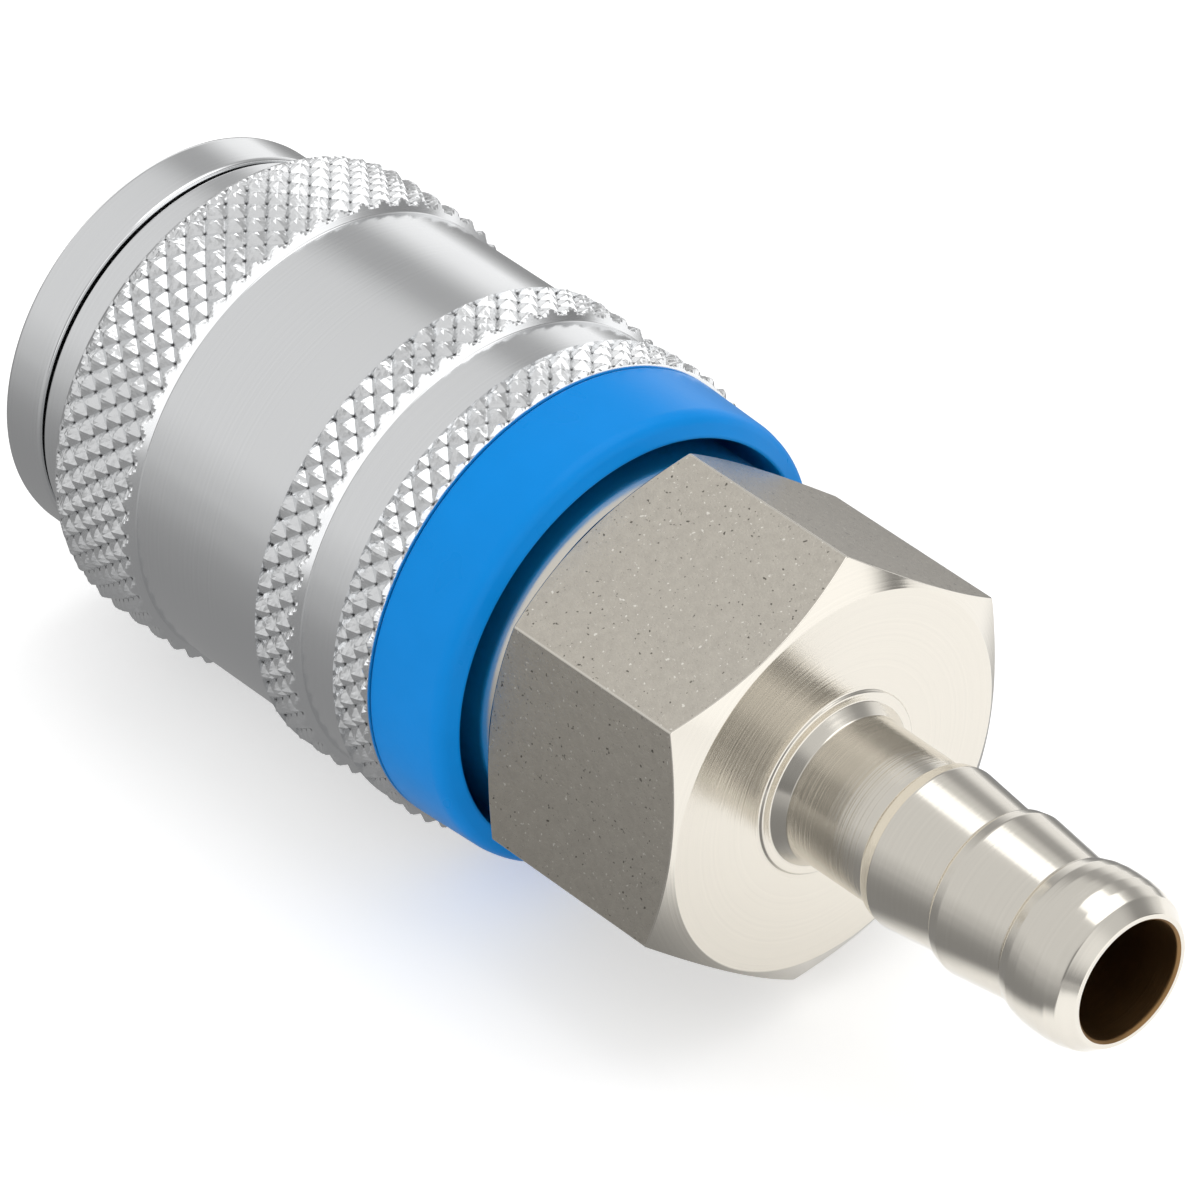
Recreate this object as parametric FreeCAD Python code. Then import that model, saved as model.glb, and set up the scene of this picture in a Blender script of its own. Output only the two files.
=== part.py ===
"""Quick disconnect coupler for compressed air, with a 19 mm wrench hexagon and a hose tail.

The coupler lies along X. The plug enters at x = 0 and the hose leaves at the +X end. The axis
of the coupler is y = z = 0 and +Z is up. The sleeve is forward, the balls are in and the valve
is shut. Lengths are millimetres. A profile is a list of (x, r) points turned about the axis.
"""
import FreeCAD
import Part
import math
import os

# Plug socket in the front body
MOUTH_RADIUS = 6.05             # bore that guides the collar of the plug
MOUTH_DEPTH = 3.2
MOUTH_CHAMFER = 0.4
SOCKET_RADIUS = 5.05            # bore that takes the tip of the plug
SOCKET_CONE_LENGTH = 0.6
SOCKET_DEPTH = 13.2             # from the mouth to the valve seat
TUBE_RADIUS = 7.2               # outside of the front body, under the sleeve
CHAMBER_RADIUS = 6.0            # valve chamber behind the seat
NOSE_FRONT_RADIUS = 9.6         # flange that stops the sleeve
NOSE_REAR_RADIUS = 10.05
NOSE_LENGTH = 2.4
EDGE_BREAK = 0.15               # small chamfer on turned edges

# Locking balls
BALL_COUNT = 6
BALL_RADIUS = 1.5
BALL_STATION = 6.5              # distance of the balls from the mouth
BALL_REACH = 0.7                # how far a locked ball stands into the socket
BALL_CLEARANCE = 0.1
BALL_SEAT_ANGLE = 30.0          # lip that keeps a ball from falling into the socket
FIRST_BALL_ANGLE = 0.0          # about the axis, from +Y towards +Z

# Sleeve, from its front end to its rear end
SLEEVE_GAP = 0.25               # between the flange and the sleeve
SLEEVE_TRAVEL = 1.3
SLEEVE_CLEARANCE = 0.25         # between the sleeve and the tube
SLEEVE_FRONT_RADIUS = 10.1
NOSE_CONE_LENGTH = 2.75
FRONT_BAND_START_RADIUS = 11.45
FRONT_BAND_RADIUS = 11.8
FRONT_BAND_RISE = 0.7
FRONT_BAND_LENGTH = 5.3
SHOULDER_LENGTH = 0.6           # bevel behind the front band
SHOULDER_RADIUS = 11.3
WAIST_RADIUS = 11.2
WAIST_LENGTH = 8.0
MIDDLE_BAND_RADIUS = 11.8
MIDDLE_BAND_LENGTH = 2.7
GROOVE_RADIUS = 11.45
GROOVE_LENGTH = 2.65
GROOVE_BEVEL = 0.4
REAR_BAND_RADIUS = 11.7
REAR_BAND_LENGTH = 1.75
KNURL_COUNT = 58                # diamonds round each grip band
KNURL_PITCH = 1.39              # length of a diamond along the axis
KNURL_DEPTH = 0.34              # from the tips down to the roots
KNURL_STEP = 0.05               # how far a knurl stands above the turned surface where it ends
WAIST_TAPER_LENGTH = 2.0        # where the waist widens towards the middle band
SLEEVE_LIP_LENGTH = 1.0         # guide at the front of the sleeve
RELEASE_RADIUS = 8.5            # recess that the balls move into
LAND_END = 11.6                 # inner shoulder that the spring pushes
SPRING_CHAMBER_RADIUS = 9.85

# Colour ring, pressed into the rear of the sleeve
RING_SPIGOT_RADIUS = 10.7
RING_SPIGOT_LENGTH = 1.9
RING_FRONT_RADIUS = 11.3
RING_REAR_RADIUS = 11.12
RING_INNER_RADIUS = 10.04
RING_LENGTH = 4.65
RING_CORNER = 0.55              # rounding of the outer rear edge
RING_FACE_LENGTH = 0.45         # slope of the rear face
RING_TO_HEX = 1.15

# Springs and washers
WASHER_THICKNESS = 0.6
WASHER_CLEARANCE = 0.25
SLEEVE_WIRE = 1.0
SLEEVE_SPRING_RADIUS = 8.55
SLEEVE_SPRING_PITCH = 1.65
VALVE_WIRE = 0.7
VALVE_SPRING_RADIUS = 4.5
VALVE_SPRING_PITCH = 1.9
SEATING_GAP = 0.02              # between faces that touch
CUT_MARGIN = 1.0                # how far a cutter reaches past the piece that it cuts

# Hose tail
COLLAR_RADIUS = 9.45
COLLAR_LENGTH = 10.6
THREAD_LENGTH = 8.0
THREAD_CLEARANCE = 0.05
HEX_ACROSS_FLATS = 19.0
HEX_LENGTH = 11.78
HEX_ANGLE = 22.9                # first corner about the axis, from +Y towards +Z
HEX_CHAMFER_ANGLE = 30.0
HEX_CHAMFER_CROWN = 0.04        # how far the chamfers bulge, as a form tool leaves them
HEX_FACE_RADIUS = 9.3
TAIL_CHAMBER_RADIUS = 5.5
TAIL_CHAMBER_LENGTH = 6.1
DRILL_POINT_ANGLE = 118.0       # cone that the drill leaves behind the chamber
HOSE_BORE_RADIUS = 2.85
ROOT_RADIUS = 4.5               # raised ring where the neck leaves the hexagon
ROOT_HEIGHT = 0.15
ROOT_FILLET = 0.7
NECK_RADIUS = 3.58
NECK_LENGTH = 5.4               # from the hexagon to the first ridge
RIDGE_RADIUS = 3.95
RIDGE_RISE = 0.8
RIDGE_PITCH = 4.2
RIDGE_COUNT = 2
VALLEY_RADIUS = 3.55
TIP_RADIUS = 3.99
TIP_LENGTH = 4.3
TIP_CORNER = 0.5
TIP_FACE_RADIUS = 3.2

# Valve
POPPET_NOSE_RADIUS = 4.2
POPPET_NOSE_LENGTH = 1.2
POPPET_POCKET_RADIUS = 3.2
POPPET_POCKET_DEPTH = 1.0
POPPET_SLOT_WIDTH = 2.0
POPPET_SLOT_COUNT = 4
POPPET_LIP_RADIUS = 4.7
POPPET_LIP_LENGTH = 0.4
POPPET_GROOVE_RADIUS = 4.45
POPPET_HEAD_CLEARANCE = 0.4
POPPET_HEAD_LENGTH = 0.75
POPPET_BOSS_LENGTH = 1.3
POPPET_BOSS_CLEARANCE = 0.2
STEM_RADIUS = 1.5
STEM_CLEARANCE = 0.15
STEM_TAIL = 0.5                 # length of the stem behind the guide
GUIDE_THICKNESS = 1.2
GUIDE_HUB_RADIUS = 2.5
GUIDE_HUB_LENGTH = 2.2
GUIDE_PORT_COUNT = 4
GUIDE_PORT_RADIUS = 1.25

# Seals
PLUG_SEAL_SECTION = 0.85        # radius of the seal's round section
PLUG_SEAL_STATION = 11.3
PLUG_SEAL_REACH = 0.3           # how far it stands into the socket
POPPET_SEAL_SECTION = 0.62
BODY_SEAL_SECTION = 0.6
SEAL_CLEARANCE = 0.05

# Places that follow from the driving dimensions
BALL_CIRCLE = SOCKET_RADIUS - BALL_REACH + BALL_RADIUS
BALL_TRAVEL = BALL_REACH
LAND_RADIUS = TUBE_RADIUS + SLEEVE_CLEARANCE
SLEEVE_START = NOSE_LENGTH + SLEEVE_GAP
FRONT_BAND_START = SLEEVE_START + NOSE_CONE_LENGTH
FRONT_BAND_END = FRONT_BAND_START + FRONT_BAND_LENGTH
WAIST_START = FRONT_BAND_END + SHOULDER_LENGTH
MIDDLE_BAND_START = WAIST_START + WAIST_LENGTH
MIDDLE_BAND_END = MIDDLE_BAND_START + MIDDLE_BAND_LENGTH
REAR_BAND_START = MIDDLE_BAND_END + GROOVE_BEVEL + GROOVE_LENGTH
SLEEVE_END = REAR_BAND_START + REAR_BAND_LENGTH
RING_END = SLEEVE_END + RING_LENGTH
HEX_START = RING_END + RING_TO_HEX
HEX_END = HEX_START + HEX_LENGTH
COLLAR_START = HEX_START - COLLAR_LENGTH
TUBE_END = COLLAR_START + THREAD_LENGTH
CARRIER_START = LAND_END + SEATING_GAP
SEAT_WASHER_START = COLLAR_START - WASHER_THICKNESS
SEAT_CONE_LENGTH = CHAMBER_RADIUS - SOCKET_RADIUS
POPPET_LIP_END = SOCKET_DEPTH + POPPET_LIP_LENGTH
POPPET_GROOVE_WIDTH = 2 * (POPPET_SEAL_SECTION + SEAL_CLEARANCE)
POPPET_HEAD_START = POPPET_LIP_END + POPPET_GROOVE_WIDTH
POPPET_HEAD_END = POPPET_HEAD_START + POPPET_HEAD_LENGTH
FIRST_RIDGE = HEX_END + NECK_LENGTH
LAST_VALLEY = FIRST_RIDGE + RIDGE_COUNT * RIDGE_PITCH
TIP_END = LAST_VALLEY + TIP_LENGTH

ARC_INSET = 1 - math.sqrt(0.5)  # how far the middle of a quarter round is from its tangents
AXIS_POINT = FreeCAD.Vector(0, 0, 0)
AXIS = FreeCAD.Vector(1, 0, 0)


def turned(start, *moves):
    """Turn a closed profile about the axis. A move is (x, r), or (middle, end) for an arc."""
    edges = []
    here = start
    for move in moves + (start,):
        if isinstance(move[0], tuple):
            middle, there = move
            edges.append(Part.Arc(point(here), point(middle), point(there)).toShape())
        else:
            there = move
            if there != here:
                edges.append(Part.LineSegment(point(here), point(there)).toShape())
        here = there
    face = Part.Face(Part.Wire(edges))
    return face.revolve(AXIS_POINT, AXIS, 360)


def point(station):
    """The point of the profile plane at x and r."""
    return FreeCAD.Vector(station[0], 0, station[1])


def disc_ring(start, end, inner, outer, chamfer=0.0):
    """A flat ring from start to end, with its outer edges broken."""
    return turned((start, inner), (start, outer - chamfer), (start + chamfer, outer),
                  (end - chamfer, outer), (end, outer - chamfer), (end, inner))


def round_ring(station, circle, section):
    """A ring of round section."""
    return Part.makeTorus(circle, section, FreeCAD.Vector(station, 0, 0), AXIS)


def around(shape, count, first_angle=0.0):
    """Copies of a shape, evenly turned about the axis."""
    copies = []
    for index in range(count):
        copy = shape.copy()
        copy.rotate(AXIS_POINT, AXIS, first_angle + index * 360.0 / count)
        copies.append(copy)
    return copies


def radial_axis(station):
    """The frame of a drill that stands on the axis and points to +Y."""
    return FreeCAD.Vector(station, 0, 0), FreeCAD.Vector(0, 1, 0)


def coil_spring(start, end, radius, wire, pitch):
    """An open coil of round wire between two flat seats."""
    run = end - start - wire
    turns = max(round(run / pitch), 1)
    helix = Part.makeHelix(run / turns, run, radius)
    section = Part.Wire(Part.makeCircle(wire / 2, FreeCAD.Vector(radius, 0, 0), FreeCAD.Vector(0, 1, 0)))
    coil = Part.Wire(helix).makePipeShell([section], True, True)
    coil.rotate(AXIS_POINT, FreeCAD.Vector(0, 1, 0), 90)
    coil.translate(FreeCAD.Vector(start + wire / 2, 0, 0))
    return coil


def front_body():
    """Socket for the plug, with the stop flange, the ball holes, the seal groove and the seat."""
    groove_radius = SOCKET_RADIUS - PLUG_SEAL_REACH + 2 * PLUG_SEAL_SECTION + SEAL_CLEARANCE
    groove_half = PLUG_SEAL_SECTION + SEAL_CLEARANCE
    body = turned((0, MOUTH_RADIUS + MOUTH_CHAMFER), (0, NOSE_FRONT_RADIUS - EDGE_BREAK),
                  (EDGE_BREAK, NOSE_FRONT_RADIUS),
                  (NOSE_LENGTH - EDGE_BREAK, NOSE_REAR_RADIUS),
                  (NOSE_LENGTH, NOSE_REAR_RADIUS - EDGE_BREAK),
                  (NOSE_LENGTH, TUBE_RADIUS), (TUBE_END, TUBE_RADIUS),
                  (TUBE_END, CHAMBER_RADIUS), (SOCKET_DEPTH + SEAT_CONE_LENGTH, CHAMBER_RADIUS),
                  (SOCKET_DEPTH, SOCKET_RADIUS),
                  (PLUG_SEAL_STATION + groove_half, SOCKET_RADIUS),
                  (PLUG_SEAL_STATION + groove_half, groove_radius),
                  (PLUG_SEAL_STATION - groove_half, groove_radius),
                  (PLUG_SEAL_STATION - groove_half, SOCKET_RADIUS),
                  (MOUTH_DEPTH + SOCKET_CONE_LENGTH, SOCKET_RADIUS), (MOUTH_DEPTH, MOUTH_RADIUS),
                  (MOUTH_CHAMFER, MOUTH_RADIUS))
    return body.cut(Part.makeCompound(around(ball_hole(), BALL_COUNT, FIRST_BALL_ANGLE)))


def ball_hole():
    """The hole of one ball: a cylinder outside and a cone inside that holds the ball back."""
    reach = BALL_RADIUS + BALL_CLEARANCE
    slope = math.tan(math.radians(BALL_SEAT_ANGLE))
    cone_base = reach / math.cos(math.radians(BALL_SEAT_ANGLE))
    seat_top = BALL_CIRCLE - (cone_base - reach) / slope
    seat_bottom = BALL_CIRCLE - BALL_RADIUS
    centre, out = radial_axis(BALL_STATION)
    bore = Part.makeCylinder(reach, 2 * TUBE_RADIUS, centre + out * seat_top, out)
    cone = Part.makeCone(cone_base - (BALL_CIRCLE - seat_bottom) * slope, reach,
                         seat_top - seat_bottom, centre + out * seat_bottom, out)
    return bore.fuse(cone)


def locking_ball():
    """One steel ball, locked at the ball circle on the +Y side."""
    centre, out = radial_axis(BALL_STATION)
    return Part.makeSphere(BALL_RADIUS, centre + out * BALL_CIRCLE, out)


def locking_sleeve():
    """Sleeve with three knurled grip bands outside, and its bore inside."""
    return sleeve_blank().fuse(grip_bands()).cut(sleeve_bore())


def sleeve_blank():
    """The turned outside of the sleeve, which dips under the grip bands."""
    return turned(
        (SLEEVE_START, 0), (SLEEVE_START, SLEEVE_FRONT_RADIUS - EDGE_BREAK),
        (SLEEVE_START + EDGE_BREAK, SLEEVE_FRONT_RADIUS),
        (FRONT_BAND_START, FRONT_BAND_START_RADIUS),
        under_band(FRONT_BAND_START, FRONT_BAND_END, FRONT_BAND_RADIUS),
        (WAIST_START, SHOULDER_RADIUS), (WAIST_START + SHOULDER_LENGTH, WAIST_RADIUS),
        (MIDDLE_BAND_START - WAIST_TAPER_LENGTH, WAIST_RADIUS),
        (MIDDLE_BAND_START, GROOVE_RADIUS + EDGE_BREAK),
        under_band(MIDDLE_BAND_START, MIDDLE_BAND_END, MIDDLE_BAND_RADIUS),
        (MIDDLE_BAND_END + GROOVE_BEVEL, GROOVE_RADIUS), (REAR_BAND_START, GROOVE_RADIUS),
        under_band(REAR_BAND_START, SLEEVE_END, REAR_BAND_RADIUS),
        ((REAR_BAND_START + SLEEVE_END) / 2, 0))


def under_band(start, end, radius):
    """The lowest point of the blank under a grip band, well below the roots of its knurl."""
    return (start + end) / 2, radius - 2 * KNURL_DEPTH


def grip_bands():
    """The three knurled bands, from the front to the rear."""
    front = knurled_disc(FRONT_BAND_START, FRONT_BAND_START_RADIUS, FRONT_BAND_RISE,
                         FRONT_BAND_END, FRONT_BAND_RADIUS, WAIST_START, SHOULDER_RADIUS)
    middle = knurled_disc(MIDDLE_BAND_START, GROOVE_RADIUS + EDGE_BREAK, 0, MIDDLE_BAND_END,
                          MIDDLE_BAND_RADIUS, MIDDLE_BAND_END + GROOVE_BEVEL, GROOVE_RADIUS)
    rear = knurled_disc(REAR_BAND_START, GROOVE_RADIUS, 0, SLEEVE_END - EDGE_BREAK,
                        REAR_BAND_RADIUS, SLEEVE_END, REAR_BAND_RADIUS - 2 * EDGE_BREAK)
    return [front, middle, rear]


def knurled_disc(start, start_radius, rise, end, radius, bevel_end, bevel_radius):
    """A disc with a diamond knurl: rows of tips and roots, half a pitch apart, from its bevel back.

    Tips and roots take turns along each row and from row to row, so that four roots stand round
    every tip. The knurl rises over the length of rise and runs out on the bevel."""
    low = start_radius + KNURL_STEP
    rows = [(bevel_end, bevel_radius + KNURL_STEP, bevel_radius + KNURL_STEP)]
    station = end
    while station > start + KNURL_PITCH / 8:
        tip = radius if station >= start + rise else low + (radius - low) * (station - start) / rise
        rows.append((station, min(radius - KNURL_DEPTH, tip), tip))
        station -= KNURL_PITCH / 2
    rows.append((start, low, low if rise else radius))
    rings = [knurl_ring(*row, index) for index, row in enumerate(rows)]
    faces = [Part.Face(Part.makePolygon(ring + ring[:1])) for ring in (rings[0], rings[-1])]
    for index in range(len(rings) - 1):
        faces += knurl_facets(rings[index], rings[index + 1], index)
    return Part.Solid(Part.Shell(faces))


def knurl_ring(station, root, tip, row):
    """One row of the knurl: a point at the root or the tip radius for every half diamond."""
    points = []
    for index in range(2 * KNURL_COUNT):
        radius = root if (index + row) % 2 else tip
        angle = math.pi * index / KNURL_COUNT
        points.append(FreeCAD.Vector(station, radius * math.cos(angle), radius * math.sin(angle)))
    return points


def knurl_facets(ring, following, row):
    """The facets between two rows: two for every pair of columns, which meet along a valley."""
    facets = []
    for index in range(len(ring)):
        after = (index + 1) % len(ring)
        a, b, c, d = ring[index], ring[after], following[after], following[index]
        corners = ((a, b, c), (a, c, d)) if (index + row) % 2 else ((a, b, d), (b, c, d))
        facets += [Part.Face(Part.makePolygon([p, q, r, p])) for p, q, r in corners]
    return facets


def sleeve_bore():
    """Everything inside the sleeve: lip, recess and land for the balls, spring chamber and seat."""
    slope = BALL_TRAVEL / SLEEVE_TRAVEL
    cone_height = (BALL_RADIUS + BALL_CLEARANCE) * math.hypot(1, slope)
    land_start = BALL_STATION + (cone_height - (LAND_RADIUS - BALL_CIRCLE)) / slope
    recess_end = land_start - (RELEASE_RADIUS - LAND_RADIUS) / slope
    lip_end = SLEEVE_START + SLEEVE_LIP_LENGTH
    return turned(
        (SLEEVE_START - CUT_MARGIN, 0), (SLEEVE_START - CUT_MARGIN, LAND_RADIUS),
        (lip_end, LAND_RADIUS), (lip_end + EDGE_BREAK, RELEASE_RADIUS), (recess_end, RELEASE_RADIUS),
        (land_start, LAND_RADIUS), (LAND_END, LAND_RADIUS), (LAND_END, SPRING_CHAMBER_RADIUS),
        (SLEEVE_END - RING_SPIGOT_LENGTH, SPRING_CHAMBER_RADIUS),
        (SLEEVE_END - RING_SPIGOT_LENGTH, RING_SPIGOT_RADIUS),
        (SLEEVE_END + CUT_MARGIN, RING_SPIGOT_RADIUS), (SLEEVE_END + CUT_MARGIN, 0))


def colour_ring():
    """Plastic ring with a spigot in the sleeve and a rounded rear edge."""
    face_start = RING_END - RING_FACE_LENGTH
    corner_start = face_start - RING_CORNER
    corner_middle = (face_start - RING_CORNER * ARC_INSET, RING_REAR_RADIUS - RING_CORNER * ARC_INSET)
    return turned(
        (SLEEVE_END - RING_SPIGOT_LENGTH, RING_INNER_RADIUS),
        (SLEEVE_END - RING_SPIGOT_LENGTH, RING_SPIGOT_RADIUS), (SLEEVE_END, RING_SPIGOT_RADIUS),
        (SLEEVE_END, RING_FRONT_RADIUS - EDGE_BREAK), (SLEEVE_END + EDGE_BREAK, RING_FRONT_RADIUS),
        (corner_start, RING_REAR_RADIUS),
        (corner_middle, (face_start, RING_REAR_RADIUS - RING_CORNER)),
        (RING_END, RING_INNER_RADIUS + EDGE_BREAK), (RING_END - EDGE_BREAK, RING_INNER_RADIUS))


def spring_carrier():
    """Washer between the sleeve and its spring, which carries the sleeve along the tube."""
    return disc_ring(CARRIER_START, CARRIER_START + WASHER_THICKNESS, LAND_RADIUS,
                     SPRING_CHAMBER_RADIUS - WASHER_CLEARANCE, EDGE_BREAK)


def spring_seat_washer():
    """Washer between the sleeve spring and the collar of the hose tail."""
    return disc_ring(SEAT_WASHER_START, COLLAR_START, TUBE_RADIUS + THREAD_CLEARANCE,
                     COLLAR_RADIUS, EDGE_BREAK)


def sleeve_spring():
    """Coil that pushes the sleeve against the flange."""
    return coil_spring(CARRIER_START + WASHER_THICKNESS + SEATING_GAP, SEAT_WASHER_START - SEATING_GAP,
                       SLEEVE_SPRING_RADIUS, SLEEVE_WIRE, SLEEVE_SPRING_PITCH)


def hose_tail():
    """Collar, wrench hexagon and ridged hose tail, turned from one bar."""
    return hexagon().fuse(tail_blank()).cut(tail_bore()).removeSplitter()


def hexagon():
    """The wrench hexagon, chamfered at both ends."""
    corner_radius = HEX_ACROSS_FLATS / math.sqrt(3)
    corners = []
    for index in range(7):
        angle = math.radians(HEX_ANGLE + 60 * index)
        corners.append(FreeCAD.Vector(HEX_START, corner_radius * math.cos(angle),
                                      corner_radius * math.sin(angle)))
    prism = Part.Face(Part.makePolygon(corners)).extrude(AXIS * HEX_LENGTH)
    slope = math.tan(math.radians(HEX_CHAMFER_ANGLE))
    rear_start = HEX_END - (corner_radius - HEX_FACE_RADIUS) * slope
    front_end = HEX_START + (corner_radius - HEX_ACROSS_FLATS / 2) * slope
    front_middle = chamfer_crown(HEX_START, HEX_ACROSS_FLATS / 2, front_end, corner_radius)
    rear_middle = chamfer_crown(HEX_END, HEX_FACE_RADIUS, rear_start, corner_radius)
    envelope = turned((HEX_START, 0), (HEX_START, HEX_ACROSS_FLATS / 2),
                      (front_middle, (front_end, corner_radius)), (rear_start, corner_radius),
                      (rear_middle, (HEX_END, HEX_FACE_RADIUS)), (HEX_END, 0))
    return prism.common(envelope)


def chamfer_crown(face, face_radius, corner, corner_radius):
    """The middle of a chamfer's arc, pushed out from the chord between the face and the corner."""
    out = 1 if face > corner else -1
    run = abs(face - corner)
    rise = corner_radius - face_radius
    length = math.hypot(run, rise)
    return ((face + corner) / 2 + out * HEX_CHAMFER_CROWN * rise / length,
            (face_radius + corner_radius) / 2 + HEX_CHAMFER_CROWN * run / length)


def tail_blank():
    """The turned outside of the hose tail, without the hexagon."""
    fillet_start = HEX_END + ROOT_HEIGHT
    fillet_end = fillet_start + ROOT_FILLET
    fillet_middle = (fillet_start + ROOT_FILLET * ARC_INSET, NECK_RADIUS + ROOT_FILLET * ARC_INSET)
    moves = [(COLLAR_START, COLLAR_RADIUS - EDGE_BREAK), (COLLAR_START + EDGE_BREAK, COLLAR_RADIUS),
             (HEX_START + EDGE_BREAK, COLLAR_RADIUS), (HEX_END - EDGE_BREAK, ROOT_RADIUS),
             (HEX_END, ROOT_RADIUS), (fillet_start, ROOT_RADIUS - EDGE_BREAK),
             (fillet_start, NECK_RADIUS + ROOT_FILLET), (fillet_middle, (fillet_end, NECK_RADIUS))]
    moves += [(FIRST_RIDGE, VALLEY_RADIUS)]
    for index in range(RIDGE_COUNT):
        moves += ridge(FIRST_RIDGE + index * RIDGE_PITCH)
    moves += tip()
    return turned((COLLAR_START, 0), *moves)


def ridge(foot):
    """One ridge: a rounded shoulder that faces the hexagon and a long taper behind it."""
    shoulder = (foot + RIDGE_RISE * ARC_INSET,
                VALLEY_RADIUS + (RIDGE_RADIUS - VALLEY_RADIUS) * (1 - ARC_INSET))
    return [(shoulder, (foot + RIDGE_RISE, RIDGE_RADIUS)), (foot + RIDGE_PITCH, VALLEY_RADIUS)]


def tip():
    """The rounded olive at the end of the hose tail, up to the axis."""
    corner = (TIP_END - TIP_CORNER, TIP_FACE_RADIUS + TIP_CORNER)
    corner_middle = (TIP_END - TIP_CORNER * ARC_INSET,
                     TIP_FACE_RADIUS + TIP_CORNER * (1 - ARC_INSET))
    crown = ((LAST_VALLEY + corner[0]) / 2, TIP_RADIUS)
    return [(crown, corner), (corner_middle, (TIP_END, TIP_FACE_RADIUS)), (TIP_END, 0)]


def tail_bore():
    """Everything that is bored out of the hose tail."""
    thread_radius = TUBE_RADIUS + THREAD_CLEARANCE
    seal_radius = TUBE_RADIUS + 2 * BODY_SEAL_SECTION + SEAL_CLEARANCE
    seal_end = COLLAR_START + 2 * (BODY_SEAL_SECTION + SEAL_CLEARANCE)
    socket_end = TUBE_END + GUIDE_THICKNESS
    chamber_end = socket_end + TAIL_CHAMBER_LENGTH
    drill_point = (TAIL_CHAMBER_RADIUS - HOSE_BORE_RADIUS) / math.tan(math.radians(DRILL_POINT_ANGLE / 2))
    return turned((COLLAR_START - CUT_MARGIN, 0), (COLLAR_START - CUT_MARGIN, seal_radius),
                  (seal_end, seal_radius),
                  (seal_end, thread_radius), (socket_end, thread_radius),
                  (socket_end, TAIL_CHAMBER_RADIUS), (chamber_end, TAIL_CHAMBER_RADIUS),
                  (chamber_end + drill_point, HOSE_BORE_RADIUS),
                  (TIP_END - EDGE_BREAK, HOSE_BORE_RADIUS),
                  (TIP_END + EDGE_BREAK, HOSE_BORE_RADIUS + 2 * EDGE_BREAK), (TIP_END + EDGE_BREAK, 0))


def valve_guide():
    """Pierced disc, clamped behind the front body, that carries the stem."""
    bore = STEM_RADIUS + STEM_CLEARANCE
    guide = turned((TUBE_END - GUIDE_HUB_LENGTH + GUIDE_THICKNESS, bore),
                   (TUBE_END - GUIDE_HUB_LENGTH + GUIDE_THICKNESS, GUIDE_HUB_RADIUS),
                   (TUBE_END, GUIDE_HUB_RADIUS), (TUBE_END, TUBE_RADIUS),
                   (TUBE_END + GUIDE_THICKNESS, TUBE_RADIUS), (TUBE_END + GUIDE_THICKNESS, bore))
    port_circle = (GUIDE_HUB_RADIUS + TAIL_CHAMBER_RADIUS) / 2
    port = Part.makeCylinder(GUIDE_PORT_RADIUS, GUIDE_THICKNESS + 2 * CUT_MARGIN,
                             FreeCAD.Vector(TUBE_END - CUT_MARGIN, port_circle, 0), AXIS)
    return guide.cut(Part.makeCompound(around(port, GUIDE_PORT_COUNT)))


def valve_poppet():
    """Poppet with a slotted nose, a groove for its seal, a spring boss and a stem."""
    nose_start = SOCKET_DEPTH - POPPET_NOSE_LENGTH
    boss_radius = VALVE_SPRING_RADIUS - VALVE_WIRE / 2 - POPPET_BOSS_CLEARANCE
    boss_end = POPPET_HEAD_END + POPPET_BOSS_LENGTH
    head_radius = CHAMBER_RADIUS - POPPET_HEAD_CLEARANCE
    stem_end = TUBE_END + GUIDE_THICKNESS + STEM_TAIL
    poppet = turned((nose_start, POPPET_POCKET_RADIUS), (nose_start, POPPET_NOSE_RADIUS),
                    (SOCKET_DEPTH, POPPET_NOSE_RADIUS), (SOCKET_DEPTH, POPPET_LIP_RADIUS),
                    (POPPET_LIP_END, POPPET_LIP_RADIUS), (POPPET_LIP_END, POPPET_GROOVE_RADIUS),
                    (POPPET_HEAD_START, POPPET_GROOVE_RADIUS), (POPPET_HEAD_START, head_radius),
                    (POPPET_HEAD_END, head_radius), (POPPET_HEAD_END, boss_radius),
                    (boss_end, boss_radius), (boss_end, STEM_RADIUS),
                    (stem_end - EDGE_BREAK, STEM_RADIUS), (stem_end, STEM_RADIUS - EDGE_BREAK),
                    (stem_end, 0), (nose_start + POPPET_POCKET_DEPTH, 0),
                    (nose_start + POPPET_POCKET_DEPTH, POPPET_POCKET_RADIUS))
    slot = Part.makeBox(POPPET_POCKET_DEPTH, POPPET_NOSE_RADIUS + CUT_MARGIN, POPPET_SLOT_WIDTH,
                        FreeCAD.Vector(nose_start, 0, -POPPET_SLOT_WIDTH / 2))
    return poppet.cut(Part.makeCompound(around(slot, POPPET_SLOT_COUNT)))


def poppet_seal():
    """Round seal on the poppet that closes on the seat."""
    return round_ring(POPPET_LIP_END + POPPET_GROOVE_WIDTH / 2,
                      POPPET_GROOVE_RADIUS + POPPET_SEAL_SECTION, POPPET_SEAL_SECTION)


def valve_spring():
    """Coil that shuts the valve."""
    return coil_spring(POPPET_HEAD_END + SEATING_GAP, TUBE_END - SEATING_GAP,
                       VALVE_SPRING_RADIUS, VALVE_WIRE, VALVE_SPRING_PITCH)


def plug_seal():
    """Round seal that grips the tip of the plug."""
    return round_ring(PLUG_SEAL_STATION, SOCKET_RADIUS - PLUG_SEAL_REACH + PLUG_SEAL_SECTION,
                      PLUG_SEAL_SECTION)


def body_seal():
    """Round seal between the front body and the hose tail."""
    return round_ring(COLLAR_START + BODY_SEAL_SECTION + SEAL_CLEARANCE,
                      TUBE_RADIUS + BODY_SEAL_SECTION + SEAL_CLEARANCE / 2, BODY_SEAL_SECTION)


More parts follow.
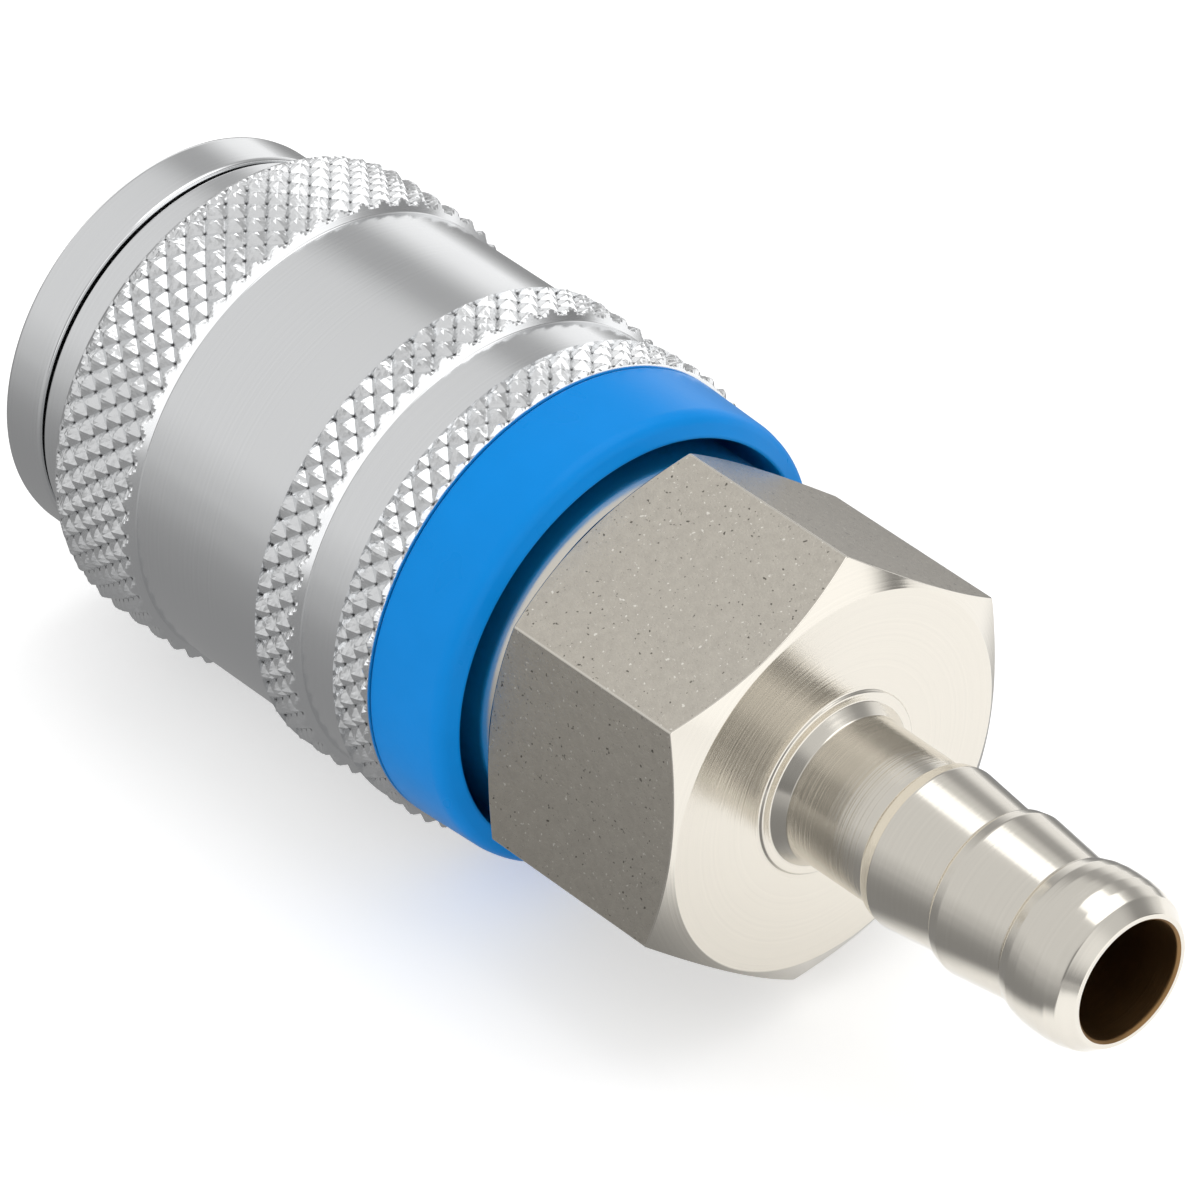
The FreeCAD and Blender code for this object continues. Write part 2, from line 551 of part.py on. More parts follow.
def all_parts():
    """Every sub-part by the name of its node."""
    parts = {
        "front_body": front_body(),
        "plug_seal": plug_seal(),
        "hose_tail": hose_tail(),
        "body_seal": body_seal(),
        "valve_guide": valve_guide(),
        "valve_spring": valve_spring(),
        "valve_poppet": valve_poppet(),
        "poppet_seal": poppet_seal(),
        "spring_seat_washer": spring_seat_washer(),
        "sleeve_spring": sleeve_spring(),
        "spring_carrier": spring_carrier(),
        "locking_sleeve": locking_sleeve(),
        "colour_ring": colour_ring(),
    }
    for index, ball in enumerate(around(locking_ball(), BALL_COUNT, FIRST_BALL_ANGLE)):
        parts["locking_ball_%d" % (index + 1)] = ball
    return parts


def main():
    """Write one STEP file for each sub-part."""
    os.makedirs("parts", exist_ok=True)
    for name, shape in all_parts().items():
        shape.exportStep(os.path.join("parts", name + ".step"))
        box = shape.BoundBox
        print("%-20s %9.1f mm3  x %6.2f to %6.2f  radius %5.2f  solids %d  valid %s" % (
            name, shape.Volume, box.XMin, box.XMax, box.YMax, len(shape.Solids), shape.isValid()))


if __name__ == "__main__":
    main()
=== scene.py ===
"""Quick disconnect coupler for compressed air: finishes, knurls and studio for the packed model.

The file is laid out as a Blender add-on and is run as a script. The coupler lies along X, its
axis is y = z = 0, the plug enters at x = 0 and the hose leaves at the +X end. Profiles are lists
of (x, r) points in millimetres that run towards +X outside and back towards -X inside.
"""
import math

import bpy
import numpy as np
from bpy.props import FloatProperty, FloatVectorProperty, IntProperty, PointerProperty
from mathutils import Matrix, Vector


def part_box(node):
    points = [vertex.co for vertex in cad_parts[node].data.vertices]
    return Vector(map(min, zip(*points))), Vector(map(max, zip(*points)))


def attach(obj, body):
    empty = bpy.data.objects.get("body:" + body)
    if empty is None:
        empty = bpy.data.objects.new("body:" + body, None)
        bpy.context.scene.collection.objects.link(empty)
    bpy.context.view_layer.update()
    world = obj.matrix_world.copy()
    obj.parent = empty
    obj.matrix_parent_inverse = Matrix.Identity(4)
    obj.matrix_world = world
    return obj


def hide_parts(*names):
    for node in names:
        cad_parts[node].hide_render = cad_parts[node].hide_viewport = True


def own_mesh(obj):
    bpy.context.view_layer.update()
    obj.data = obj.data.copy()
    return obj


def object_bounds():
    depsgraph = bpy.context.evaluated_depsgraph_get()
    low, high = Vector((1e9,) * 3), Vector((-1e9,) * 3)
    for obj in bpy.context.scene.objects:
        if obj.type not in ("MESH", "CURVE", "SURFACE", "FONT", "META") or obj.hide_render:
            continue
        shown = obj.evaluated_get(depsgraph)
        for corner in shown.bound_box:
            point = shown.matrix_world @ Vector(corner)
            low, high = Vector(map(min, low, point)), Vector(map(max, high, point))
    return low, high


bl_info = {
    "name": "Quick disconnect coupler",
    "version": (1, 0, 0),
    "blender": (4, 5, 0),
    "location": "3D View > Sidebar > Coupler",
    "description": "Builds the finished surfaces of a compressed-air coupler and its studio",
    "category": "Add Mesh",
}

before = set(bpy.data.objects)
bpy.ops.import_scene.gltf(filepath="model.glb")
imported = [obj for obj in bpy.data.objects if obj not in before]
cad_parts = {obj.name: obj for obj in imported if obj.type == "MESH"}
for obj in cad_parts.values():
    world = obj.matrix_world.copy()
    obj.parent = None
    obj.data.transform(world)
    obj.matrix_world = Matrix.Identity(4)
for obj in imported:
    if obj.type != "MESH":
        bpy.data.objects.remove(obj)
cad_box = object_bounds()

MM = 0.001


def span(node):
    """Start, end and outer radius of a CAD node, in millimetres."""
    low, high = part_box(node)
    return low.x / MM, high.x / MM, max(high.y, high.z) / MM


SLEEVE_START, SLEEVE_END, BAND_RADIUS = span("locking_sleeve")
RING_SPIGOT_START, RING_END, _ = span("colour_ring")
BODY_START, BODY_END, _ = span("front_body")
TAIL_START, TAIL_END, _ = span("hose_tail")
CARRIER_START = span("spring_carrier")[0]

# All turned pieces
EDGE = 0.15                     # broken edges
ROUNDING = 0.06                 # rounding of every other corner
STEP = 0.04                     # run of a steep side
SEATING_GAP = 0.02              # between faces that touch
CORNER_ROWS = 4                 # rows of the mesh round each corner
CORNER_SHARE = 0.45             # largest share of a side that a corner takes
TURNED_COLUMNS = 240            # columns of the mesh round a plain turned piece

# Nose
RIM_RADIUS = 10.06              # rim of the nose, a skin over the flange
RIM_INNER_RADIUS = 9.44
RIM_END = 2.5
RIM_CORNER = 0.55
RIM_BEVEL = 0.22
RIM_PROUD = 0.005               # how far the inner edge of the rim lies behind its face
SHARP = 0.002                   # rounding of the edges that lie on the flange

# Sleeve outside, each band as its start and end
SLEEVE_FRONT_RADIUS = 10.0
SLEEVE_CHAMFER_START = 4.6      # end of the plain part in front of the first band
FRONT_BAND = (5.3, 10.4)
MIDDLE_BAND = (19.6, 21.75)
REAR_BAND = (24.75, 26.65)
FRONT_BAND_START_RADIUS = 11.45
FRONT_BAND_RISE = 0.6
REAR_BAND_RADIUS = 11.7
WAIST_START = 10.8
WAIST_RADIUS = 11.25
GROOVE_START = 22.1
GROOVE_RADIUS = 11.25
DIAMOND_CELLS = 8               # cells of the mesh along and round one diamond
WAIST_BEVEL_ROWS = 12
GROOVE_BEVEL_ROWS = 10
TEAR = 0.012                    # unevenness of the knurl's facets
TEAR_SEED = 7

# Sleeve inside
LAND_RADIUS = 7.45              # lip and land, which run on the front body
LIP_LENGTH = 1.0
RECESS_RADIUS = 8.5             # recess that the balls move into
RECESS_END = 4.953              # a cone runs from here to the land
LAND_START = 6.903
SPRING_CHAMBER_RADIUS = 9.85
SPIGOT_RADIUS = 10.7            # seat of the colour ring

# Colour ring
RING_INNER_RADIUS = 10.04
RING_FRONT_RADIUS = 11.3
RING_REAR_RADIUS = 11.12
RING_FACE_LENGTH = 0.45         # slope of the rear face
RING_ROUNDINGS = (0.05, 0.05, 0.05, 0.15, 0.6, 0.2)

# Hexagon
HEX_START, HEX_END = 32.6, 44.38
HEX_ACROSS_FLATS = 19.0
HEX_ANGLE = 22.9                # first corner about the axis, from +Y towards +Z
HEX_FACE_RADIUS = 9.3
HEX_CHAMFER_ANGLE = 30.0
FLAT_POINTS = 26                # points of the section along a flat and round a corner
CORNER_POINTS = 4

# Hose tail
COLLAR_RADIUS = 9.45
NECK_RADIUS = 3.58
NECK_FOOT_RADII = (4.5, 4.4, 4.0)       # of the shallow step round the foot of the neck
NECK_FILLET = 0.6
FIRST_RIDGE = 49.78
RIDGE_PITCH = 4.2
RIDGE_COUNT = 2
RIDGE_RISE = 0.8
RIDGE_SHOULDER = 0.3            # share of the rise where its steep part ends
RIDGE_SHOULDER_RADIUS = 3.84
RIDGE_RADIUS = 3.95
VALLEY_RADIUS = 3.55
LAST_VALLEY = FIRST_RIDGE + RIDGE_COUNT * RIDGE_PITCH
TIP_RADIUS = 3.99
TIP_DROP = 0.35                 # the tip's radius falls by this times |u| to the power, u -1 to 1
TIP_POWER = 2.6
TIP_REACH = 0.9                 # largest |u| that has a point
TIP_POINTS = 7
TIP_CORNER = 0.5
TIP_FACE_RADIUS = 3.2
BORE_RADIUS = 2.85
DRILL_POINT_LENGTH = 1.6        # cone from the bore to the chamber
CHAMBER_END = 37.3
CHAMBER_RADIUS = 5.5
GUIDE_THICKNESS = 1.2           # valve guide between the chamber and the front body
THREAD_RADIUS = 7.25
SEAL_RECESS_LENGTH = 1.3
SEAL_RECESS_RADIUS = 8.45

# Springs: node, radius of the coil, wire, turns and the joint that squashes it
SPRINGS = (
    ("sleeve_spring", 8.55, 1.0, 5, "sleeve_slide"),
    ("valve_spring", 4.5, 0.7, 7, "valve_slide"),
)
COIL_STEPS = 40                 # rows of the mesh for one turn, and columns round the wire
WIRE_COLUMNS = 12

# Tool rings of the lathe, drawn coarser than real ones so that they show
RING_DEPTH = 0.0012 * MM
RING_SLOPE = 1.7                # their pattern follows x + this times r
PATCH_SIZE = 4.55 * MM          # of the patches where the metal is a little duller
ROOT_SHADE = 0.93               # painted shade: brightness of the roots of the rings

# Studio, in metres; shades are pairs of a place and a brightness
FLOOR_SIZE = 3.0                # half of the floor's side
FLOOR_DROP = 0.01 * MM          # how far the floor and the card lie under the coupler
CARD_DROP = 0.005 * MM
FLOOR_GLOW = 0.42               # what the floor adds where it is seen, up to white
CARD_NEAR, CARD_FAR = -0.20, 0.25       # where the shading of the card starts and ends along y
CARD_SHADES = (                 # painted shade along y, in millimetres, darkest under the coupler
    (-200, 0.60), (-138, 0.56), (-49, 0.44), (-30, 0.33), (-18, 0.29), (20, 0.28),
    (54, 0.32), (110, 0.62), (250, 1.0))
CARD_EDGE = (47 * MM, 37 * MM)  # the card fades in between these values of x + min(y, 0)
SURROUND_RADIUS = 2.0
SURROUND_ROWS, SURROUND_COLUMNS = 24, 48
RIGHT_WALL = ((0.0, 1.45), (0.20, 1.35), (0.42, 0.60), (0.58, 0.56), (0.70, 1.0), (1.0, 1.04))
LEFT_WALL = ((0.0, 0.80), (0.10, 0.90), (0.26, 1.04), (1.0, 1.04))
BACK_WALL = ((0.0, 0.34), (0.10, 0.32), (0.35, 0.42), (0.60, 0.45), (0.74, 0.95), (1.0, 1.04))
RIGHT_EDGE = (-0.25, 0.3)       # y of the direction where left turns into right
BACK_EDGE = (0.0, 0.5)          # x of the direction where both turn into the back wall
WINDOW_EDGE = (0.62, 0.72)      # x of the direction where the back wall turns into the window
WINDOW = (1.8, 1.8, 1.8, 1.0)
WHITE = (1.0, 1.0, 1.0, 1.0)
LAMP_SIZE = 0.5
LAMP_PLACE = (0.05, 0.15, 0.5)
LAMP_TILT = math.radians(-16)

# Camera
CAMERA_PLACE = (0.26681, -0.21234, 0.24255)
CAMERA_RIGHT = (0.66634, 0.74565, 0.0)
CAMERA_BACK = (0.59443, -0.53120, 0.60371)
CAMERA_LENS = 273.3
CAMERA_SENSOR = 36.0


# Colours and nodes

def linear(code):
    """The linear colour of an sRGB hex code, with alpha 1."""
    values = np.array([int(code[i:i + 2], 16) for i in (1, 3, 5)]) / 255.0
    bright = ((values + 0.055) / 1.055) ** 2.4
    return tuple(np.where(values <= 0.04045, values / 12.92, bright)) + (1.0,)


def add(tree, kind, inputs=None, **settings):
    """Adds a node, sets its properties, and gives each named input a value or a link."""
    node = tree.nodes.new(kind)
    for name, value in settings.items():
        setattr(node, name, value)
    for name, value in (inputs or {}).items():
        if isinstance(value, bpy.types.NodeSocket):
            tree.links.new(value, node.inputs[name])
        else:
            node.inputs[name].default_value = value
    return node


def new_material(name):
    """An empty material with its node tree."""
    material = bpy.data.materials.new(name)
    material.use_nodes = True
    material.node_tree.nodes.clear()
    return material, material.node_tree


def finish_material(tree, shader):
    """Links the shader to the material's output."""
    add(tree, "ShaderNodeOutputMaterial", {"Surface": shader})


def turned_metal(name, colour, roughness, ring_pitch, anisotropy, ring_depth=RING_DEPTH):
    """A lathe-turned, plated metal: fine tool rings about X that stretch the highlights.

    The rings follow x + 1.7 r, so that they run round cylinders, cones and end faces alike, and
    they catch the light as fine bright lines."""
    material, tree = new_material(name)
    place = add(tree, "ShaderNodeTexCoord").outputs["Object"]
    parts = add(tree, "ShaderNodeSeparateXYZ", {"Vector": place})
    flat = add(tree, "ShaderNodeCombineXYZ", {"Y": parts.outputs["Y"], "Z": parts.outputs["Z"]})
    radius = add(tree, "ShaderNodeVectorMath", {0: flat.outputs["Vector"]}, operation="LENGTH")
    along = add(tree, "ShaderNodeMath",
                {0: radius.outputs["Value"], 1: RING_SLOPE, 2: parts.outputs["X"]},
                operation="MULTIPLY_ADD")
    rings = add(tree, "ShaderNodeTexNoise",
                {"W": along.outputs["Value"], "Scale": 1.0 / ring_pitch, "Detail": 3.0,
                 "Roughness": 0.65}, noise_dimensions="1D")
    patches = add(tree, "ShaderNodeTexNoise",
                  {"Vector": place, "Scale": 1.0 / PATCH_SIZE, "Detail": 2.0})
    rough_add = add(tree, "ShaderNodeMapRange",
                    {"Value": patches.outputs["Fac"], "From Min": 0.3, "From Max": 0.7,
                     "To Min": roughness * 0.85, "To Max": roughness * 1.2})
    bump = add(tree, "ShaderNodeBump",
               {"Height": rings.outputs["Fac"], "Strength": 1.0, "Distance": ring_depth})
    # Painted shade: the colour darkens towards the roots of the tool rings.
    root = tuple(ROOT_SHADE * value for value in colour) + (1.0,)
    shade = add(tree, "ShaderNodeMix",
                {"Factor": rings.outputs["Fac"], "A": root, "B": tuple(colour) + (1.0,)},
                data_type="RGBA")
    tangent = add(tree, "ShaderNodeTangent", direction_type="RADIAL", axis="X")
    shader = add(tree, "ShaderNodeBsdfPrincipled",
                 {"Base Color": shade.outputs["Result"], "Metallic": 1.0,
                  "Roughness": rough_add.outputs["Result"], "Anisotropic": anisotropy,
                  "Normal": bump.outputs["Normal"], "Tangent": tangent.outputs["Tangent"]})
    finish_material(tree, shader.outputs["BSDF"])
    return material


def knurled_steel(colour):
    """Plated steel after knurling: bright, slightly torn facets, and painted shade that darkens
    the spots where four roots meet, broken up by the grain."""
    material, tree = new_material("knurled_plated_steel")
    place = add(tree, "ShaderNodeTexCoord").outputs["Object"]
    grain = add(tree, "ShaderNodeTexNoise",
                {"Vector": place, "Scale": 1.0 / (0.35 * MM), "Detail": 3.0})
    pit = add(tree, "ShaderNodeAttribute", attribute_name="knurl_pit")
    painted_pit_shade = add(tree, "ShaderNodeMath", {0: grain.outputs["Fac"], 1: 0.30, 2: pit.outputs["Fac"]},
               operation="MULTIPLY_ADD")
    # Painted shade: the colour goes dark near the crossings of the roots, with the grain moving its
    # edge.
    shade = add(tree, "ShaderNodeValToRGB", {"Fac": painted_pit_shade.outputs["Value"]})
    shade.color_ramp.elements[0].color = linear("#3A3B3D")
    shade.color_ramp.elements[0].position = 0.20
    shade.color_ramp.elements[1].color = tuple(colour) + (1.0,)
    shade.color_ramp.elements[1].position = 0.42
    rough = add(tree, "ShaderNodeMapRange",
                {"Value": grain.outputs["Fac"], "To Min": 0.10, "To Max": 0.30})
    bump = add(tree, "ShaderNodeBump",
               {"Height": grain.outputs["Fac"], "Strength": 1.0, "Distance": 0.02 * MM})
    shader = add(tree, "ShaderNodeBsdfPrincipled",
                 {"Base Color": shade.outputs["Color"], "Metallic": 1.0,
                  "Roughness": rough.outputs["Result"], "Normal": bump.outputs["Normal"]})
    finish_material(tree, shader.outputs["BSDF"])
    return material


def matte_nickel():
    """Nickel plate over drawn hexagon bar: satin, warm grey, with fine bright and dark specks."""
    material, tree = new_material("matte_nickel_plate")
    place = add(tree, "ShaderNodeTexCoord").outputs["Object"]
    fine = add(tree, "ShaderNodeTexNoise",
               {"Vector": place, "Scale": 1.0 / (0.12 * MM), "Detail": 2.0})
    grain = add(tree, "ShaderNodeTexNoise",
                {"Vector": place, "Scale": 1.0 / (0.45 * MM), "Detail": 4.0, "Roughness": 0.7})
    specks = add(tree, "ShaderNodeTexNoise",
                 {"Vector": place, "Scale": 1.0 / (0.20 * MM), "Detail": 1.0})
    body = add(tree, "ShaderNodeMix",
               {"Factor": grain.outputs["Fac"], "A": linear("#B9B3A9"), "B": linear("#D9D3C7")},
               data_type="RGBA")
    for start, end, colour in ((0.70, 0.76, "#F4F0E6"), (0.30, 0.24, "#6E6A62")):
        share = add(tree, "ShaderNodeMapRange",
                    {"Value": specks.outputs["Fac"], "From Min": start, "From Max": end})
        body = add(tree, "ShaderNodeMix",
                   {"Factor": share.outputs["Result"], "A": body.outputs["Result"],
                    "B": linear(colour)}, data_type="RGBA")
    height = add(tree, "ShaderNodeMath",
                 {0: fine.outputs["Fac"], 1: grain.outputs["Fac"]}, operation="ADD")
    bump = add(tree, "ShaderNodeBump",
               {"Height": height.outputs["Value"], "Strength": 1.0, "Distance": 0.014 * MM})
    rough = add(tree, "ShaderNodeMapRange",
                {"Value": fine.outputs["Fac"], "To Min": 0.22, "To Max": 0.38})
    shader = add(tree, "ShaderNodeBsdfPrincipled",
                 {"Base Color": body.outputs["Result"], "Metallic": 1.0,
                  "Roughness": rough.outputs["Result"], "Normal": bump.outputs["Normal"]})
    finish_material(tree, shader.outputs["BSDF"])
    return material


def moulded_plastic(colour):
    """Glossy moulded polyamide: an even blue with a faint flow texture and a soft highlight."""
    material, tree = new_material("moulded_blue_polyamide")
    place = add(tree, "ShaderNodeTexCoord").outputs["Object"]
    flow = add(tree, "ShaderNodeTexNoise",
               {"Vector": place, "Scale": 1.0 / (2.5 * MM), "Detail": 2.0})
    skin = add(tree, "ShaderNodeTexNoise",
               {"Vector": place, "Scale": 1.0 / (0.25 * MM), "Detail": 2.0})
    dark = tuple(0.9 * value for value in colour) + (1.0,)
    shade = add(tree, "ShaderNodeMix",
                {"Factor": flow.outputs["Fac"], "A": dark, "B": tuple(colour) + (1.0,)},
                data_type="RGBA")
    bump = add(tree, "ShaderNodeBump",
               {"Height": skin.outputs["Fac"], "Strength": 1.0, "Distance": 0.004 * MM})
    rough = add(tree, "ShaderNodeMapRange",
                {"Value": flow.outputs["Fac"], "To Min": 0.24, "To Max": 0.34})
    shader = add(tree, "ShaderNodeBsdfPrincipled",
                 {"Base Color": shade.outputs["Result"], "Roughness": rough.outputs["Result"],
                  "IOR": 1.53, "Specular IOR Level": 0.12, "Normal": bump.outputs["Normal"]})
    finish_material(tree, shader.outputs["BSDF"])
    return material


def seal_rubber():
    """Nitrile rubber: near black and matte, with a grey bloom."""
    material, tree = new_material("nitrile_rubber")
    place = add(tree, "ShaderNodeTexCoord").outputs["Object"]
    bloom = add(tree, "ShaderNodeTexNoise",
                {"Vector": place, "Scale": 1.0 / (0.8 * MM), "Detail": 3.0})
    shade = add(tree, "ShaderNodeMix",
                {"Factor": bloom.outputs["Fac"], "A": linear("#151515"), "B": linear("#2B2A29")},
                data_type="RGBA")
    rough = add(tree, "ShaderNodeMapRange",
                {"Value": bloom.outputs["Fac"], "To Min": 0.5, "To Max": 0.7})
    bump = add(tree, "ShaderNodeBump",
               {"Height": bloom.outputs["Fac"], "Strength": 1.0, "Distance": 0.01 * MM})
    shader = add(tree, "ShaderNodeBsdfPrincipled",
                 {"Base Color": shade.outputs["Result"], "Roughness": rough.outputs["Result"],
                  "IOR": 1.52, "Normal": bump.outputs["Normal"]})
    finish_material(tree, shader.outputs["BSDF"])
    return material


# Surfaces

def softened(points, rounding):
    """Rounds every corner of a closed profile and gives each point its outward normal.

    A corner P between its neighbours is the curve (1-t)^2 A + 2t(1-t) P + t^2 B, where A and B
    lie on the two sides, at the rounding from P or at a set share of the side if that is less.
    The normal is the curve's tangent (tx, tr) turned to (-tr, tx)."""
    points = np.asarray(points, float)
    before = np.roll(points, 1, 0) - points
    after = np.roll(points, -1, 0) - points
    before_length = np.linalg.norm(before, axis=1)
    after_length = np.linalg.norm(after, axis=1)
    reach = np.minimum(CORNER_SHARE * np.minimum(before_length, after_length), rounding)
    a = points + before * (reach / before_length)[:, None]
    b = points + after * (reach / after_length)[:, None]
    t = np.linspace(0, 1, CORNER_ROWS)[None, :, None]
    p = points[:, None]
    curve = (1 - t) ** 2 * a[:, None] + 2 * t * (1 - t) * p + t ** 2 * b[:, None]
    tangent = 2 * (1 - t) * (p - a[:, None]) + 2 * t * (b[:, None] - p)
    tangent = tangent.reshape(-1, 2)
    tangent /= np.linalg.norm(tangent, axis=1)[:, None]
    return curve.reshape(-1, 2), np.column_stack([-tangent[:, 1], tangent[:, 0]])


def turn(profile, normals, angles):
    """Turns (x, r) points about X: the point (x, r cos a, r sin a), and its normal the same way."""
    wave = np.stack([np.cos(angles), np.sin(angles)], -1)
    x = np.broadcast_to(profile[:, None, 0:1], (len(profile), len(angles), 1))
    nx = np.broadcast_to(normals[:, None, 0:1], x.shape)
    place = np.concatenate([x, profile[:, None, 1:2] * wave[None]], -1)
    facing = np.concatenate([nx, normals[:, None, 1:2] * wave[None]], -1)
    return place, facing


def mesh_object(name, place, facing, materials, kind=None, faceted=None, split=None, pits=None,
                open_rows=False):
    """Makes one mesh of a grid of points in millimetres that wraps both ways, or along its
    columns alone if open_rows.

    kind is the material of each grid cell, faceted marks the cells shaded flat, and split the
    cells that are divided along their other diagonal."""
    rows, columns = place.shape[:2]
    index = np.arange(rows * columns).reshape(rows, columns)
    a, b = index, np.roll(index, -1, 1)
    c, d = np.roll(b, -1, 0), np.roll(index, -1, 0)
    first = np.stack([a, b, c, a, c, d], -1)
    other = np.stack([a, b, d, b, c, d], -1)
    chosen = first if split is None else np.where(split[..., None], other, first)
    corners = (chosen[:-1] if open_rows else chosen).reshape(-1, 3)
    points = place.reshape(-1, 3)
    mesh = bpy.data.meshes.new(name)
    mesh.vertices.add(len(points))
    mesh.vertices.foreach_set("co", (points * MM).astype(np.float32).ravel())
    mesh.loops.add(corners.size)
    mesh.loops.foreach_set("vertex_index", corners.astype(np.int32).ravel())
    mesh.polygons.add(len(corners))
    mesh.polygons.foreach_set("loop_start", np.arange(0, corners.size, 3, dtype=np.int32))
    if kind is not None:
        mesh.polygons.foreach_set("material_index", np.repeat(kind.ravel(), 2).astype(np.int32))
    if pits is not None:
        layer = mesh.attributes.new("knurl_pit", "FLOAT", "POINT")
        layer.data.foreach_set("value", pits.astype(np.float32).ravel())
    mesh.update(calc_edges=True)
    normals = facing.reshape(-1, 3)[corners]
    if faceted is not None:
        across = np.cross(points[corners[:, 1]] - points[corners[:, 0]],
                          points[corners[:, 2]] - points[corners[:, 0]])
        across /= np.maximum(np.linalg.norm(across, axis=1), 1e-12)[:, None]
        marked = np.repeat(faceted.ravel(), 2)
        normals[marked] = across[marked][:, None]
    mesh.polygons.foreach_set("use_smooth", np.ones(len(corners), bool))
    mesh.normals_split_custom_set(normals.reshape(-1, 3).tolist())
    for material in materials:
        mesh.materials.append(material)
    made = bpy.data.objects.new(name, mesh)
    bpy.context.scene.collection.objects.link(made)
    return made


def lathe(name, points, material, rounding):
    """A closed profile with softened corners, turned about X."""
    profile, normals = softened(points, rounding)
    angles = np.linspace(0, 2 * np.pi, TURNED_COLUMNS, endpoint=False)
    place, facing = turn(profile, normals, angles)
    return mesh_object(name, place, facing, [material])


def coil(name, start, end, radius, wire, turns, material):
    """A helix of round wire: its centre line is (x, R cos a, R sin a), with x growing evenly with
    the angle a, and a circle of the wire's radius is carried along it in the plane of its radius
    and its binormal. The circle runs backwards, so that the faces point outwards. The first and
    last circles have no size, so that they close the ends."""
    steps = turns * COIL_STEPS
    a = np.linspace(0, 2 * np.pi * turns, steps)[:, None, None]
    rise = (end - start - wire) / (2 * np.pi * turns)
    slope = math.hypot(radius, rise)
    out = np.concatenate([0 * a, np.cos(a), np.sin(a)], -1)
    along = np.concatenate([0 * a, -np.sin(a), np.cos(a)], -1)
    across = (np.array([radius, 0, 0]) - rise * along) / slope
    b = np.linspace(0, -2 * np.pi, WIRE_COLUMNS, endpoint=False)[None, :, None]
    facing = out * np.cos(b) + across * np.sin(b)
    centre = out * radius + np.array([start + wire / 2, 0, 0]) + rise * a * np.array([1, 0, 0])
    size = np.full((steps + 2, 1, 1), wire / 2)
    size[[0, -1]] = 0
    rows = np.clip(np.arange(-1, steps + 1), 0, steps - 1)
    place = centre[rows] + facing[rows] * size
    return mesh_object(name, place, facing[rows], [material], open_rows=True)


def sleeve_outline():
    """The sleeve outside, as the points (x, r) of its polished envelope from front to rear."""
    return [
        (SLEEVE_START, SLEEVE_FRONT_RADIUS - EDGE), (SLEEVE_START + EDGE, SLEEVE_FRONT_RADIUS),
        (SLEEVE_CHAMFER_START, SLEEVE_FRONT_RADIUS), (FRONT_BAND[0], FRONT_BAND_START_RADIUS),
        (FRONT_BAND[0] + FRONT_BAND_RISE, BAND_RADIUS), (FRONT_BAND[1], BAND_RADIUS),
        (WAIST_START, WAIST_RADIUS), (MIDDLE_BAND[0] - STEP, WAIST_RADIUS),
        (MIDDLE_BAND[0], BAND_RADIUS), (MIDDLE_BAND[1], BAND_RADIUS), (GROOVE_START, GROOVE_RADIUS),
        (REAR_BAND[0] - STEP, GROOVE_RADIUS), (REAR_BAND[0], REAR_BAND_RADIUS),
        (REAR_BAND[1], REAR_BAND_RADIUS), (SLEEVE_END, REAR_BAND_RADIUS - 2 * EDGE)]


def sleeve_inside():
    """The inside of the sleeve from rear to front: spigot seat, spring chamber, land and recess."""
    lip_end = SLEEVE_START + LIP_LENGTH
    shoulder = CARRIER_START - SEATING_GAP
    return [
        (SLEEVE_END, SPIGOT_RADIUS), (RING_SPIGOT_START, SPIGOT_RADIUS),
        (RING_SPIGOT_START, SPRING_CHAMBER_RADIUS), (shoulder, SPRING_CHAMBER_RADIUS),
        (shoulder, LAND_RADIUS), (LAND_START, LAND_RADIUS), (RECESS_END, RECESS_RADIUS),
        (lip_end + EDGE, RECESS_RADIUS), (lip_end, LAND_RADIUS), (SLEEVE_START, LAND_RADIUS)]


def knurl_height(x, angle, settings):
    """Height of the diamond knurl and how far a point is from where two roots cross, both 0 to 1.

    With a = angle N / 2 pi and b = x / pitch, x from the bevel, the roots lie where a + b or
    a - b is a whole number. The height is the lesser distance from them, doubled and capped by
    the tip, and the distance from a crossing is the greater one, doubled."""
    a = angle * settings.diamonds / (2 * np.pi)
    b = x / (settings.pitch / MM)
    first = np.abs(a + b - np.round(a + b))
    second = np.abs(a - b - np.round(a - b))
    return (np.minimum(2 * np.minimum(first, second) / (1 - settings.tip), 1.0),
            2 * np.maximum(first, second))


